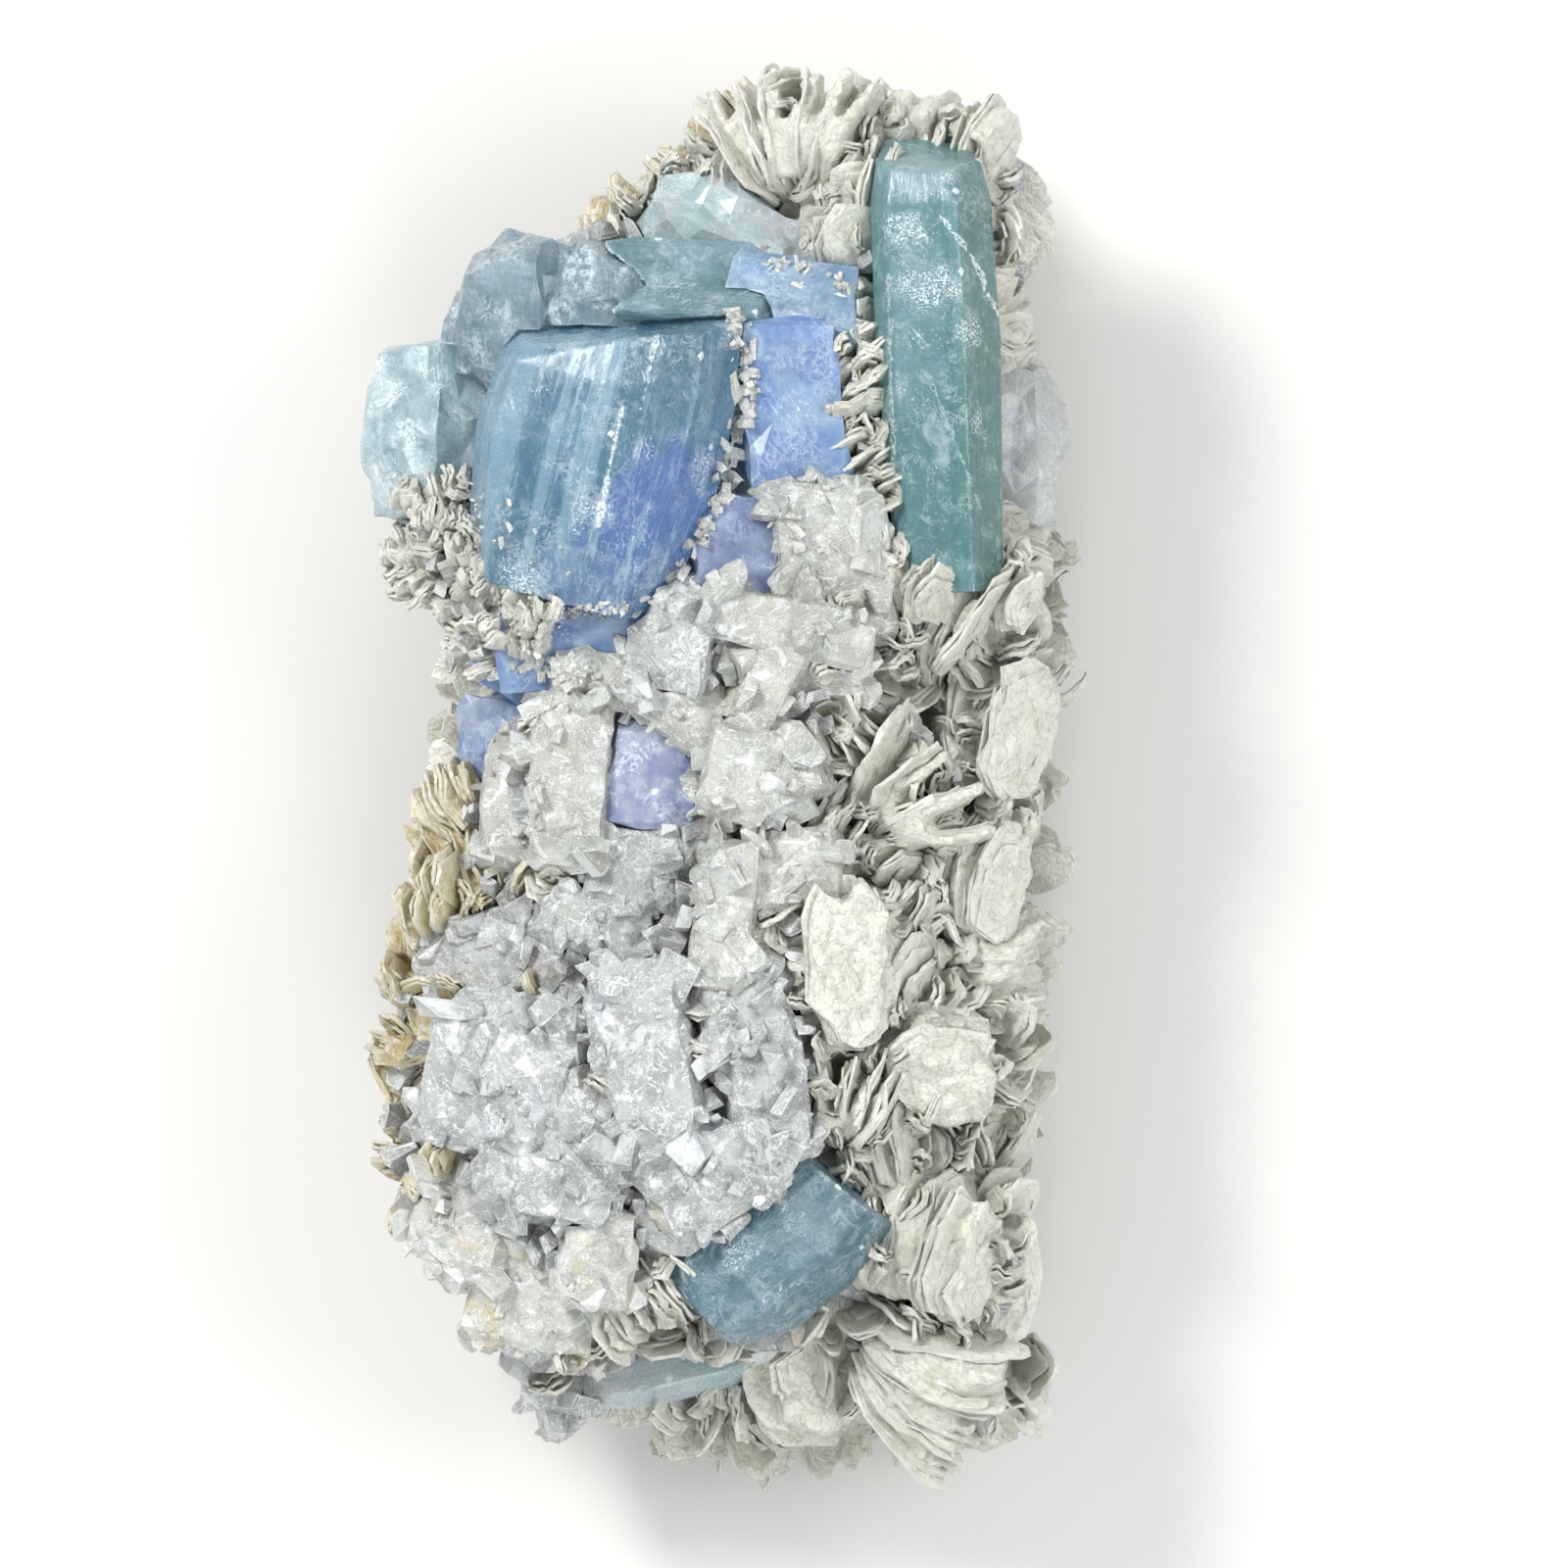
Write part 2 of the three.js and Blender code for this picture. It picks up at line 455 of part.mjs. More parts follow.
// Cuts a solid clear of all pieces made before it, keeps its largest body and adds it as a mesh.
function addPiece(name, material, solid, grown, least = leastFacet) {
  const own = solid.boundingBox();
  const clear = taken
    .filter((other) => boxesMeet(own, other.boundingBox()))
    .reduce((rest, other) => rest.subtract(other), solid);
  const kept = largestBody(largestBody(clear).simplify(least));
  taken.push(grown);
  const { numProp, vertProperties, triVerts } = kept.getMesh();
  const geometry = new THREE.BufferGeometry();
  const positions = new Float32Array((vertProperties.length / numProp) * 3);
  for (let i = 0; i < positions.length / 3; i += 1) {
    positions.set(vertProperties.subarray(i * numProp, i * numProp + 3), i * 3);
  }
  geometry.setAttribute("position", new THREE.BufferAttribute(positions, 3));
  geometry.setIndex(new THREE.BufferAttribute(triVerts, 1));
  geometry.computeVertexNormals();
  const mesh = new THREE.Mesh(geometry, material);
  mesh.name = name;
  group.add(mesh);
}

const paleCrystals = ["aquamarine_upper", "aquamarine_behind_tall", "aquamarine_back"];

for (const [name, spec] of Object.entries(aquamarines)) {
  const material = paleCrystals.includes(name) ? finishes.paleAquamarine : finishes.aquamarine;
  addPiece(name, material, joined([crystal(spec, 0)]), joined([crystal(spec, clearance)]));
}

function blockMaterial(name) {
  if (paleCrystals.includes(name)) return finishes.paleAquamarine;
  if (name.startsWith("aquamarine")) return finishes.aquamarine;
  return name.startsWith("fluorite") ? finishes.fluorite : finishes.albite;
}

Object.entries(blocks).forEach(([name, parts], number) => {
  const shapes = (extra) => parts.map((spec, i) => chippedBlock(spec, number * seedsPerGroup + i, extra));
  addPiece(name, blockMaterial(name), joined(shapes(0)), joined(shapes(clearance)));
});

Object.entries(books).forEach(([name, book], number) => {
  const material = name.startsWith("golden") ? finishes.goldenMica : finishes.mica;
  const hull = solidOf(hullOf(bookPlates(book, number, clearance)));
  addPiece(name, material, joined(bookPlates(book, number, 0)), hull.simplify(1.5 * leastFacet));
});

const upperSide = new THREE.BoxGeometry(200, 200, 100).translate(0, 0, 50);
const rock = solidOf(rockGeometry()).intersect(solidOf(upperSide));
addPiece("matrix_rock", finishes.rock, rock, rock, 2 * leastFacet);

export default group;
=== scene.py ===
# Looks for an aquamarine specimen: beryl, fluorite, albite and mica on a rock that lies on its cut back.
import bpy
import math
import random
from mathutils import Matrix, Vector


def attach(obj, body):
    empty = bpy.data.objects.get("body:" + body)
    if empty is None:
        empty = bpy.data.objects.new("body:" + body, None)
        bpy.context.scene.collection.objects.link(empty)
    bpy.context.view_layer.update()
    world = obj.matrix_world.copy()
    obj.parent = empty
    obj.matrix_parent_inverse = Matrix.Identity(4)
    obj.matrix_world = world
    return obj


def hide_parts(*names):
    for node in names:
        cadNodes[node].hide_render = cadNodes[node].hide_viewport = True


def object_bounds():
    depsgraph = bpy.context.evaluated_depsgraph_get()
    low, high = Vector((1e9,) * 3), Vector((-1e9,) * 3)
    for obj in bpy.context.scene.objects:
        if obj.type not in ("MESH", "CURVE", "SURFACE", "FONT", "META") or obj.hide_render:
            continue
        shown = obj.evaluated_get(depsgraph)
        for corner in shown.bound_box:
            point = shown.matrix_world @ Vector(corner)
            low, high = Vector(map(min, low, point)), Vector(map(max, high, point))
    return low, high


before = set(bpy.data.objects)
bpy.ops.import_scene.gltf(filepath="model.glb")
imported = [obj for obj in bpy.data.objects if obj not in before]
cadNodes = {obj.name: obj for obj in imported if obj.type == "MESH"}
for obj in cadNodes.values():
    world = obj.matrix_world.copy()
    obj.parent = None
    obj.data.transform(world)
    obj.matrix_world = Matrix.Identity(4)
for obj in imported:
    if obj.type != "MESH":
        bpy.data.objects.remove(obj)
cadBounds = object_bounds()
mm = 0.001
up = Vector((0, 0, 1))
print("frame loaded with", len(cadNodes), "nodes")


# Helpers for picking, copying and finishing pieces
def deselectAll():
    bpy.ops.object.select_all(action="DESELECT")


def activate(piece):
    deselectAll()
    piece.select_set(True)
    bpy.context.view_layer.objects.active = piece


def applyModifiers(piece):
    activate(piece)
    for modifier in list(piece.modifiers):
        bpy.ops.object.modifier_apply(modifier=modifier.name)


def smooth(piece, degrees):
    # edges that turn by more than this stay sharp
    activate(piece)
    bpy.ops.object.shade_smooth_by_angle(angle=math.radians(degrees))


def anyWay(rng):
    return Vector([rng.gauss(0, 1) for _ in range(3)])


def copyNode(nodeName, pieceName, fatter=0):
    piece = cadNodes[nodeName].copy()
    piece.data = cadNodes[nodeName].data.copy()
    bpy.context.scene.collection.objects.link(piece)
    piece.parent = None
    piece.name = pieceName
    for key in list(piece.keys()):
        del piece[key]
    piece.data.materials.clear()
    activate(piece)
    bpy.ops.object.mode_set(mode="EDIT")
    bpy.ops.mesh.select_all(action="SELECT")
    bpy.ops.mesh.remove_doubles(threshold=0.01 * mm)
    bpy.ops.mesh.normals_make_consistent(inside=False)
    bpy.ops.transform.shrink_fatten(value=fatter * mm)
    bpy.ops.object.mode_set(mode="OBJECT")
    bpy.ops.mesh.customdata_custom_splitnormals_clear()
    return piece


def alignment(grow, face):
    # local x across, y along grow, z towards face
    along = Vector(grow).normalized()
    out = Vector(face)
    out = (out - along * out.dot(along)).normalized()
    return Matrix((along.cross(out), along, out)).transposed()


def roughen(piece, kind, grain, strength, stretch=(1, 1, 1), turn=None, level=0.5, **settings):
    texture = bpy.data.textures.new(f"{piece.name} {kind}", kind)
    texture.noise_scale = 1
    for name, value in settings.items():
        setattr(texture, name, value)
    bpy.ops.object.empty_add(location=(0, 0, 0))
    guide = bpy.context.object
    guide.matrix_world = (turn or Matrix.Identity(3)).to_4x4() @ Matrix.Diagonal(
        [grain * share * mm for share in stretch] + [1])
    bpy.context.view_layer.update()
    displace = piece.modifiers.new("Displace", "DISPLACE")
    displace.texture = texture
    displace.texture_coords = "OBJECT"
    displace.texture_coords_object = guide
    displace.strength = strength * mm
    displace.mid_level = level
    applyModifiers(piece)
    bpy.data.objects.remove(guide)


def remesh(piece, voxel):
    modifier = piece.modifiers.new("Remesh", "REMESH")
    modifier.mode = "VOXEL"
    modifier.voxel_size = voxel * mm
    applyModifiers(piece)


def fracture(piece, faces, evenly=0):
    # merges the fine faces into fewer flat ones, as on broken crystal
    decimate = piece.modifiers.new("Decimate", "DECIMATE")
    decimate.ratio = min(1, faces / (2 * len(piece.data.polygons)))
    if evenly:
        subdivide = piece.modifiers.new("Subdivide", "SUBSURF")
        subdivide.subdivision_type = "SIMPLE"
        subdivide.levels = evenly
    applyModifiers(piece)
    smooth(piece, 22)


overhang = {"sides": 1.5, "ends": 3, "top": 1.1}  # millimetres beyond the CAD model, at most


def keepInside(piece):
    # nothing hangs below the cut back or stands out more than a little from the CAD model
    low, high = cadBounds
    sides, ends, top = (overhang[place] * mm for place in ("sides", "ends", "top"))
    floor = Vector((low.x - sides, low.y - ends, 0))
    roof = Vector((high.x + sides, high.y + ends, high.z + top))
    for vertex in piece.data.vertices:
        vertex.co = [min(max(value, least), most) for value, least, most in zip(vertex.co, floor, roof)]


def finish(piece, slotName, material, *nodeNames):
    keepInside(piece)
    piece.data.materials.clear()
    piece.data.materials.append(material)
    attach(piece, "root")
    if nodeNames:
        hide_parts(*nodeNames)


# Shader sums: a wrapped socket takes part in ordinary arithmetic, and each step adds its Math node
class Wire:
    def __init__(self, board, socket):
        self.board = board
        self.socket = socket

    def __add__(self, other):
        return self.board.maths("ADD", self, other)

    def __sub__(self, other):
        return self.board.maths("SUBTRACT", self, other)

    def __mul__(self, other):
        return self.board.maths("MULTIPLY", self, other)

    def __rsub__(self, other):
        return self.board.maths("SUBTRACT", other, self)

    def __abs__(self):
        return self.board.maths("ABSOLUTE", self)

    __radd__ = __add__
    __rmul__ = __mul__


class Board:
    def __init__(self, name):
        self.material = bpy.data.materials.new(name)
        self.material.use_nodes = True
        self.tree = self.material.node_tree
        self.shader = self.tree.nodes["Principled BSDF"]

    def node(self, kind, settings=None, inputs=None, output=0):
        made = self.tree.nodes.new(kind)
        for name, value in (settings or {}).items():
            setattr(made, name, value)
        for name, value in (inputs or {}).items():
            self.plug(made.inputs[name], value)
        return Wire(self, made.outputs[output])

    def plug(self, socket, value):
        if isinstance(value, Wire):
            self.tree.links.new(value.socket, socket)
        else:
            socket.default_value = value

    def maths(self, operation, *values):
        return self.node("ShaderNodeMath", {"operation": operation}, dict(enumerate(values)))

    def place(self, turn=None, stretch=(1, 1, 1)):
        # object coordinates in millimetres, turned into a crystal's own axes
        spot = self.node("ShaderNodeTexCoord", output="Object")
        angles = (turn or Matrix.Identity(3)).transposed().to_euler()
        turned = self.node("ShaderNodeMapping", {"vector_type": "POINT"},
                           {"Vector": spot, "Rotation": angles, "Scale": [1 / mm] * 3})
        return self.node("ShaderNodeVectorMath", {"operation": "DIVIDE"}, {0: turned, 1: stretch})

    def noise(self, spot, grain, detail=4, roughness=0.55, distortion=0):
        # grain is the size of the pattern in the units of spot, which are millimetres
        return self.node("ShaderNodeTexNoise", {"noise_dimensions": "3D"},
                         {"Vector": spot, "Scale": 1 / grain, "Detail": detail,
                          "Roughness": roughness, "Distortion": distortion})

    def step(self, value, low, high):
        # 0 below low, 1 above high
        return self.node("ShaderNodeMapRange", {"interpolation_type": "SMOOTHSTEP"},
                         {"Value": value, "From Min": low, "From Max": high})

    def part(self, vector, axis):
        return self.node("ShaderNodeSeparateXYZ", None, {"Vector": vector}, output=axis)

    def cavity(self):
        # above a half on ridges, below it in grooves
        return self.node("ShaderNodeNewGeometry", output="Pointiness")

    def most(self, first, *others):
        for other in others:
            first = self.maths("MAXIMUM", first, other)
        return first

    def alongLine(self, spot, start, end):
        # distance from a straight line on the top of a crystal, seen from above
        a, b = Vector((*start, 0)), Vector((*end, 0))
        flat = self.node("ShaderNodeVectorMath", {"operation": "MULTIPLY"}, {0: spot, 1: (1, 1, 0)})
        fromStart = self.node("ShaderNodeVectorMath", {"operation": "SUBTRACT"}, {0: flat, 1: a})
        run = self.node("ShaderNodeVectorMath", {"operation": "DOT_PRODUCT"},
                        {0: fromStart, 1: (b - a) / (b - a).length_squared}, output="Value")
        run = self.maths("MINIMUM", self.maths("MAXIMUM", run, 0), 1)
        foot = self.node("ShaderNodeVectorMath", {"operation": "SCALE"}, {0: b - a, "Scale": run})
        return self.distance(fromStart, foot)

    def distance(self, spot, point):
        return self.node("ShaderNodeVectorMath", {"operation": "DISTANCE"},
                         {0: spot, 1: point}, output="Value")

    def blend(self, share, low, high):
        return self.node("ShaderNodeMix", {"data_type": "RGBA"}, {0: share, 6: low, 7: high}, output=2)

    def bump(self, height, strength, depth):
        return self.node("ShaderNodeBump", None,
                         {"Height": height, "Strength": strength, "Distance": depth * mm})

    def frost(self, share, colour, relief):
        # an opaque white bloom where share is high, over the crystal's own shader
        bloom = self.node("ShaderNodeBsdfPrincipled", None,
                          {"Base Color": colour, "Roughness": 0.45, "Normal": relief})
        mixed = self.node("ShaderNodeMixShader", None,
                          {0: share, 1: Wire(self, self.shader.outputs[0]), 2: bloom})
        self.tree.links.new(mixed.socket, self.tree.nodes["Material Output"].inputs["Surface"])
        return self.material

    def wear(self, **sockets):
        for name, value in sockets.items():
            self.plug(self.shader.inputs[name.replace("_", " ")], value)
        return self.material


def paint(code):
    # a screen colour such as 6f9fa6, as light
    parts = [int(code[i:i + 2], 16) / 255 for i in (0, 2, 4)]
    return [p / 12.92 if p <= 0.04045 else ((p + 0.055) / 1.055) ** 2.4 for p in parts] + [1]


def crystalMaterial(name, look):
    board = Board(name)
    turn = alignment(look["grow"], look["face"])
    world = board.place()
    spot = board.place(turn)
    drawn = board.place(turn, (1, 18, 1))
    slanted = board.place(turn @ Matrix.Rotation(math.radians(34), 3, "Z"), (1, 16, 1))
    clouds = board.noise(spot, look["cloud"], 5, 0.65)
    lines = board.noise(drawn, look["line"], 5, 0.7)
    fine = board.noise(drawn, look["line"] * 0.18, 4, 0.7)
    grit = board.noise(world, 0.3, 3, 0.75)
    dust = board.noise(world, 0.2, 5, 0.85)
    wobble = board.noise(world, 2.4, 5) - 0.5
    colour = board.blend(board.step(clouds, 0.36, 0.66), paint(look["deep"]), paint(look["body"]))
    across = board.part(spot, "X") - (turn.transposed() @ Vector(look.get("middle", (0, 0, 0)))).x
    for band in look.get("bands", []):
        reach = abs(across + (lines - 0.5) * 1.6 - band["across"])
        share = (1 - board.step(reach, band["half"] * 0.75, band["half"] * 1.1)) * band["share"]
        colour = board.blend(share, colour, paint(band["colour"]))
    for patch in look.get("patches", []):
        reach = board.distance(world, patch["at"]) + wobble * 8 + (lines - 0.5) * 4
        share = 1 - board.step(reach, patch["radius"] * 0.75, patch["radius"] * 1.05)
        colour = board.blend(share * patch["share"], colour, paint(patch["colour"]))
    sparkle = 0
    for cluster in look.get("clusters", []):
        reach = board.distance(world, cluster["at"]) + wobble * 6
        near = 1 - board.step(reach, cluster["radius"] * 0.2, cluster["radius"])
        sparkle = near * board.step(dust, 0.5, 0.58) + sparkle
    streak = board.step(lines * 0.6 + fine * 0.5, 0.55, 0.7) * look["streaks"]
    colour = board.blend(streak, colour, paint(look["pale"]))
    # ridge: edges and ridges whitened by pointiness, a painted highlight
    ridge = board.step(board.cavity() + (grit - 0.5) * 0.1, 0.52 + look["rim"], 0.6 + look["rim"]) * 0.7
    gathered = board.step(board.noise(world, 4, 4, 0.6), 0.6 - look["frost"] * 0.14, 0.74)
    specks = board.most(board.step(grit, 0.6, 0.66), board.step(dust, 0.6, 0.66)) * (gathered + 0.1)
    scratches = 1 - board.step(abs(board.noise(slanted, 0.9, 3, 0.6) - 0.5), 0, 0.012)
    threads = 1 - board.step(abs(lines - 0.52), 0, 0.01)
    curls = 1 - board.step(abs(board.noise(world, 1.5, 6, 0.75, 1.4) - 0.5), 0, 0.035)
    fibres = curls * board.step(board.noise(world, 3.4, 4, 0.6), 0.47, 0.62) * look["fibres"]
    white = board.most(ridge, specks, scratches * gathered * 0.7, threads * gathered * 0.6, sparkle, fibres)
    veil = board.step(board.noise(spot, 2.6, 6, 0.7, 1), 0.52, 0.75) * look["frost"] * 0.35
    white = board.most(white, veil)
    for crack in look.get("cracks", []):
        ragged = (board.noise(world, 0.8, 4, 0.7) - 0.5) * 1.4 + wobble
        line = board.alongLine(world, crack["from"], crack["to"]) + ragged
        share = (1 - board.step(abs(line), 0, crack["half"])) * board.step(grit, 0.36, 0.5)
        white = board.most(white, share * crack["share"])
    # white gathers frost, specks, threads, cracks and fibres, and the painted highlight on the ridges
    colour = board.blend(white * 0.5, colour, paint("e6f0f3"))
    relief = board.bump(lines * 0.5 + fine * 0.5 + grit * 0.25, 0.5, 0.25)
    board.wear(
        Base_Color=colour, Roughness=look["gloss"] + white * 0.2 + fine * 0.1, Normal=relief,
        IOR=look["ior"], Transmission_Weight=look["clear"], Coat_Weight=0.15, Coat_Roughness=0.1)
    return board.frost(white * 0.85, paint("e9f1f4"), relief)


def albiteMaterial(name, look):
    board = Board(name)
    spot = board.place()
    grain = board.noise(spot, 0.7, 5, 0.7)
    sugar = board.noise(spot, 0.4, 3, 0.7)
    cavity = board.cavity() + (grain - 0.5) * 0.1
    broad = board.step(board.noise(spot, 4.5, 5, 0.6, 0.6), 0.4, 0.6)
    colour = board.blend(broad, paint(look["shade"]), paint(look["body"]))
    tinge = board.step(board.noise(spot, 5, 3), 0.54, 0.7) * look["tinge"]
    colour = board.blend(tinge, colour, paint(look["stain"]))
    # hollow: grooves darkened by pointiness, a painted shade
    colour = board.blend((1 - board.step(cavity, 0.42, 0.5)) * 0.6, colour, paint(look["hollow"]))
    veils = board.step(board.noise(spot, 2.6, 7, 0.75, 0.9), 0.5, 0.64)
    nets = 1 - board.step(abs(board.noise(spot, 2.8, 6, 0.7, 1.2) - 0.47), 0.01, 0.035)
    threads = 1 - board.step(abs(board.noise(spot, 1.3, 4, 0.6, 0.8) - 0.52), 0.005, 0.03)
    # sparkle: small white dots on the sugary grain, painted glints
    sparkle = board.step(sugar, 0.56, 0.64) * board.step(board.noise(spot, 3.4, 4, 0.6), 0.46, 0.6)
    # edge: ridges whitened by pointiness, a painted highlight
    edge = board.step(cavity, 0.53, 0.57)
    # white veils, nets and threads, with the painted glints and the painted highlight on the edges
    frostAndHighlights = board.most(veils * 0.7, nets * 0.7, threads * 0.4, sparkle * 0.8, edge * 0.5)
    colour = board.blend(frostAndHighlights, colour, paint("f4f5f3"))
    relief = board.bump(grain * 0.5 + sugar * 0.4 + frostAndHighlights * 0.4, 0.8, 0.3)
    return board.wear(
        Base_Color=colour, Roughness=0.16 + frostAndHighlights * 0.4, IOR=1.53, Normal=relief,
        Transmission_Weight=look["clear"], Coat_Weight=0.25, Coat_Roughness=0.12)


def micaMaterial(name, look):
    board = Board(name)
    tone = board.node("ShaderNodeAttribute", {"attribute_name": "tone"}, output="Fac")
    rim = board.node("ShaderNodeAttribute", {"attribute_name": "rim"}, output="Fac")
    spot = board.place()
    patchy = board.noise(spot, 2.2, 5, 0.65)
    mottled = board.noise(spot, 0.7, 4, 0.7)
    fine = board.noise(spot, 0.25, 3, 0.7)
    crackle = 1 - board.step(abs(board.noise(spot, 1.3, 5, 0.6, 0.5) - 0.5), 0, 0.02)
    colour = board.blend(tone * 0.7 + mottled * 0.3, paint(look["dark"]), paint(look["light"]))
    sheet = board.node("ShaderNodeAttribute", {"attribute_name": "sheet"}, output="Vector")
    laminae = board.noise(sheet, 1, 4, 0.7)
    terraces = 1 - board.step(abs(laminae - 0.48), 0, 0.045)
    colour = board.blend(board.step(laminae, 0.4, 0.62) * 0.35, colour, paint(look["dark"]))
    colour = board.blend(terraces * 0.5, colour, paint("f3f3e9"))
    fresh = tone * 0.7 + 0.3
    colour = board.blend(board.step(fine, 0.54, 0.68) * fresh * 0.4, colour, paint("f3f4ec"))
    colour = board.blend(board.step(patchy, 0.5, 0.72) * 0.6, colour, paint(look["stain"]))
    colour = board.blend(crackle * 0.3, colour, paint(look["dark"]))
    colour = board.blend(board.step(mottled, 0.54, 0.7) * fresh * 0.5, colour, paint("f2f3ea"))
    # rim: leaf edges lightened, a painted highlight
    colour = board.blend(board.step(rim + (mottled - 0.5) * 0.5, 0.75, 1.0) * 0.5, colour, paint("f4f4ea"))
    relief = board.bump(fine * 0.4 + mottled * 0.6 - crackle * 0.2 + laminae * 0.9, 0.8, 0.3)
    return board.wear(
        Base_Color=colour, Roughness=0.3 + fine * 0.3, IOR=1.58, Normal=relief, Coat_Weight=0.3,
        Coat_Roughness=0.15, Transmission_Weight=look["clear"], Sheen_Weight=0.08)


def rockMaterial(name, look):
    board = Board(name)
    spot = board.place()
    broad = board.noise(spot, 5, 5)
    grain = board.noise(spot, 0.8, 5, 0.7)
    colour = board.blend(board.step(broad, 0.35, 0.65), paint(look["shade"]), paint(look["body"]))
    colour = board.blend(board.step(grain, 0.48, 0.7) * 0.6, colour, paint(look["fleck"]))
    return board.wear(Base_Color=colour, Roughness=0.6 + grain * 0.25,
                      Normal=board.bump(grain, 0.6, 0.5))


# Chipped fragments, copied wherever a surface is broken: narrow splinters and wider blades, two units long.
# widths and thicknesses are shares of the length, reach is how far out the cuts run
splinterShape = {"widths": (0.22, 0.45), "thicknesses": (0.1, 0.24), "reach": (0.55, 0.8), "cuts": 8}
bladeShape = {"widths": (0.34, 0.6), "thicknesses": (0.16, 0.28), "reach": (0.5, 0.8), "cuts": 12}
margin = 0.035  # round each face, for the painted highlight along its edges
unevenness = 0.03


def modelGrain(number, shape):
    rng = random.Random(number)
    bpy.ops.mesh.primitive_cube_add(size=2, location=(0, 0, 0))
    grain = bpy.context.object
    grain.name = f"grainPattern{number}"
    bpy.ops.object.mode_set(mode="EDIT")
    bpy.ops.mesh.select_all(action="SELECT")
    width, thickness = rng.uniform(*shape["widths"]), rng.uniform(*shape["thicknesses"])
    bpy.ops.transform.resize(value=(width, 1, thickness))
    for _ in range(shape["cuts"]):
        out = anyWay(rng).normalized()
        extent = abs(out.x) * width + abs(out.y) + abs(out.z) * thickness
        bpy.ops.mesh.select_all(action="SELECT")
        bpy.ops.mesh.bisect(plane_co=out * extent * rng.uniform(*shape["reach"]), plane_no=out,
                            use_fill=True, clear_outer=True)
    bpy.ops.mesh.select_all(action="SELECT")
    bpy.ops.mesh.inset(thickness=margin, use_individual=True)
    bpy.ops.mesh.select_all(action="SELECT")
    bpy.ops.transform.vertex_random(offset=unevenness, uniform=0.4, seed=number)
    bpy.ops.object.mode_set(mode="OBJECT")
    return grain


deselectAll()
grainPatterns = [modelGrain(number, splinterShape) for number in range(8)]
bladePatterns = [modelGrain(number, bladeShape) for number in range(8, 16)]


def placeCopy(pattern, matrix):
    part = pattern.copy()
    part.data = pattern.data.copy()
    part.data.transform(matrix)
    bpy.context.scene.collection.objects.link(part)
    return part


def joinPieces(parts, pieceName):
    deselectAll()
    for part in parts:
        part.select_set(True)
    bpy.context.view_layer.objects.active = parts[0]
    bpy.ops.object.join()
    parts[0].name = pieceName
    return parts[0]


sprinkling = {"lowest": -0.3, "lean": 0.5, "flatness": 1.5, "sunk": 0.2}


def sprinkle(piece, rng, patterns, perArea, sizes):
    # fragments grown into a surface, mostly small ones, lying nearly flat on it
    faces = [face for face in piece.data.polygons if face.normal.z > sprinkling["lowest"]]
    area = sum(face.area for face in faces) / mm ** 2
    grains = []
    for face in rng.sample(faces, min(len(faces), round(area * perArea))):
        size = sizes[0] + (sizes[1] - sizes[0]) * rng.random() ** 2
        lean = anyWay(rng) * sprinkling["lean"]
        turn = alignment(lean, face.normal * sprinkling["flatness"] + lean).to_4x4()
        base = Matrix.Translation(face.center - face.normal * sprinkling["sunk"] * size * mm)
        grains.append(placeCopy(rng.choice(patterns), base @ turn @ Matrix.Scale(size * mm, 4)))
    return grains


# Crystals: each copy of a CAD node is remeshed and given growth lines along its axis. cloud, line and
# chipSize are sizes of a pattern and lines, chips and fatter depths, all in millimetres, facets is about
# how many broken faces, and streaks, frost and fibres say how much white there is
growthLines = {"broad": {"grain": 3.4, "along": 6}, "fine": {"grain": 0.8, "along": 14, "share": 0.7}}
beryl = {"cloud": 6, "line": 1.8, "streaks": 0.3, "frost": 0.9, "rim": 0.02, "gloss": 0.22,
         "clear": 0.6, "ior": 1.58, "lines": 0.25, "voxel": 0.24, "slot": "aquamarine", "swell": 0.5,
         "fatter": 0, "chips": 0, "fibres": 0.35}
paleBeryl = {**beryl, "slot": "pale_aquamarine", "deep": "739693", "body": "a3bfbb", "pale": "d6e4e2",
             "streaks": 0.45, "frost": 1, "lines": 0.3, "fatter": 0.35, "chips": 2.2, "chipSize": 3.6,
             "facets": 460, "fibres": 0.75}
violet = {"cloud": 4, "line": 2.4, "streaks": 0.2, "frost": 0.9, "rim": 0.02, "gloss": 0.26,
          "clear": 0.55, "ior": 1.43, "lines": 0.25, "voxel": 0.26, "slot": "fluorite", "swell": 0.5,
          "fatter": 0.5, "chips": 1.1, "chipSize": 2.6, "facets": 300, "fibres": 0.4}
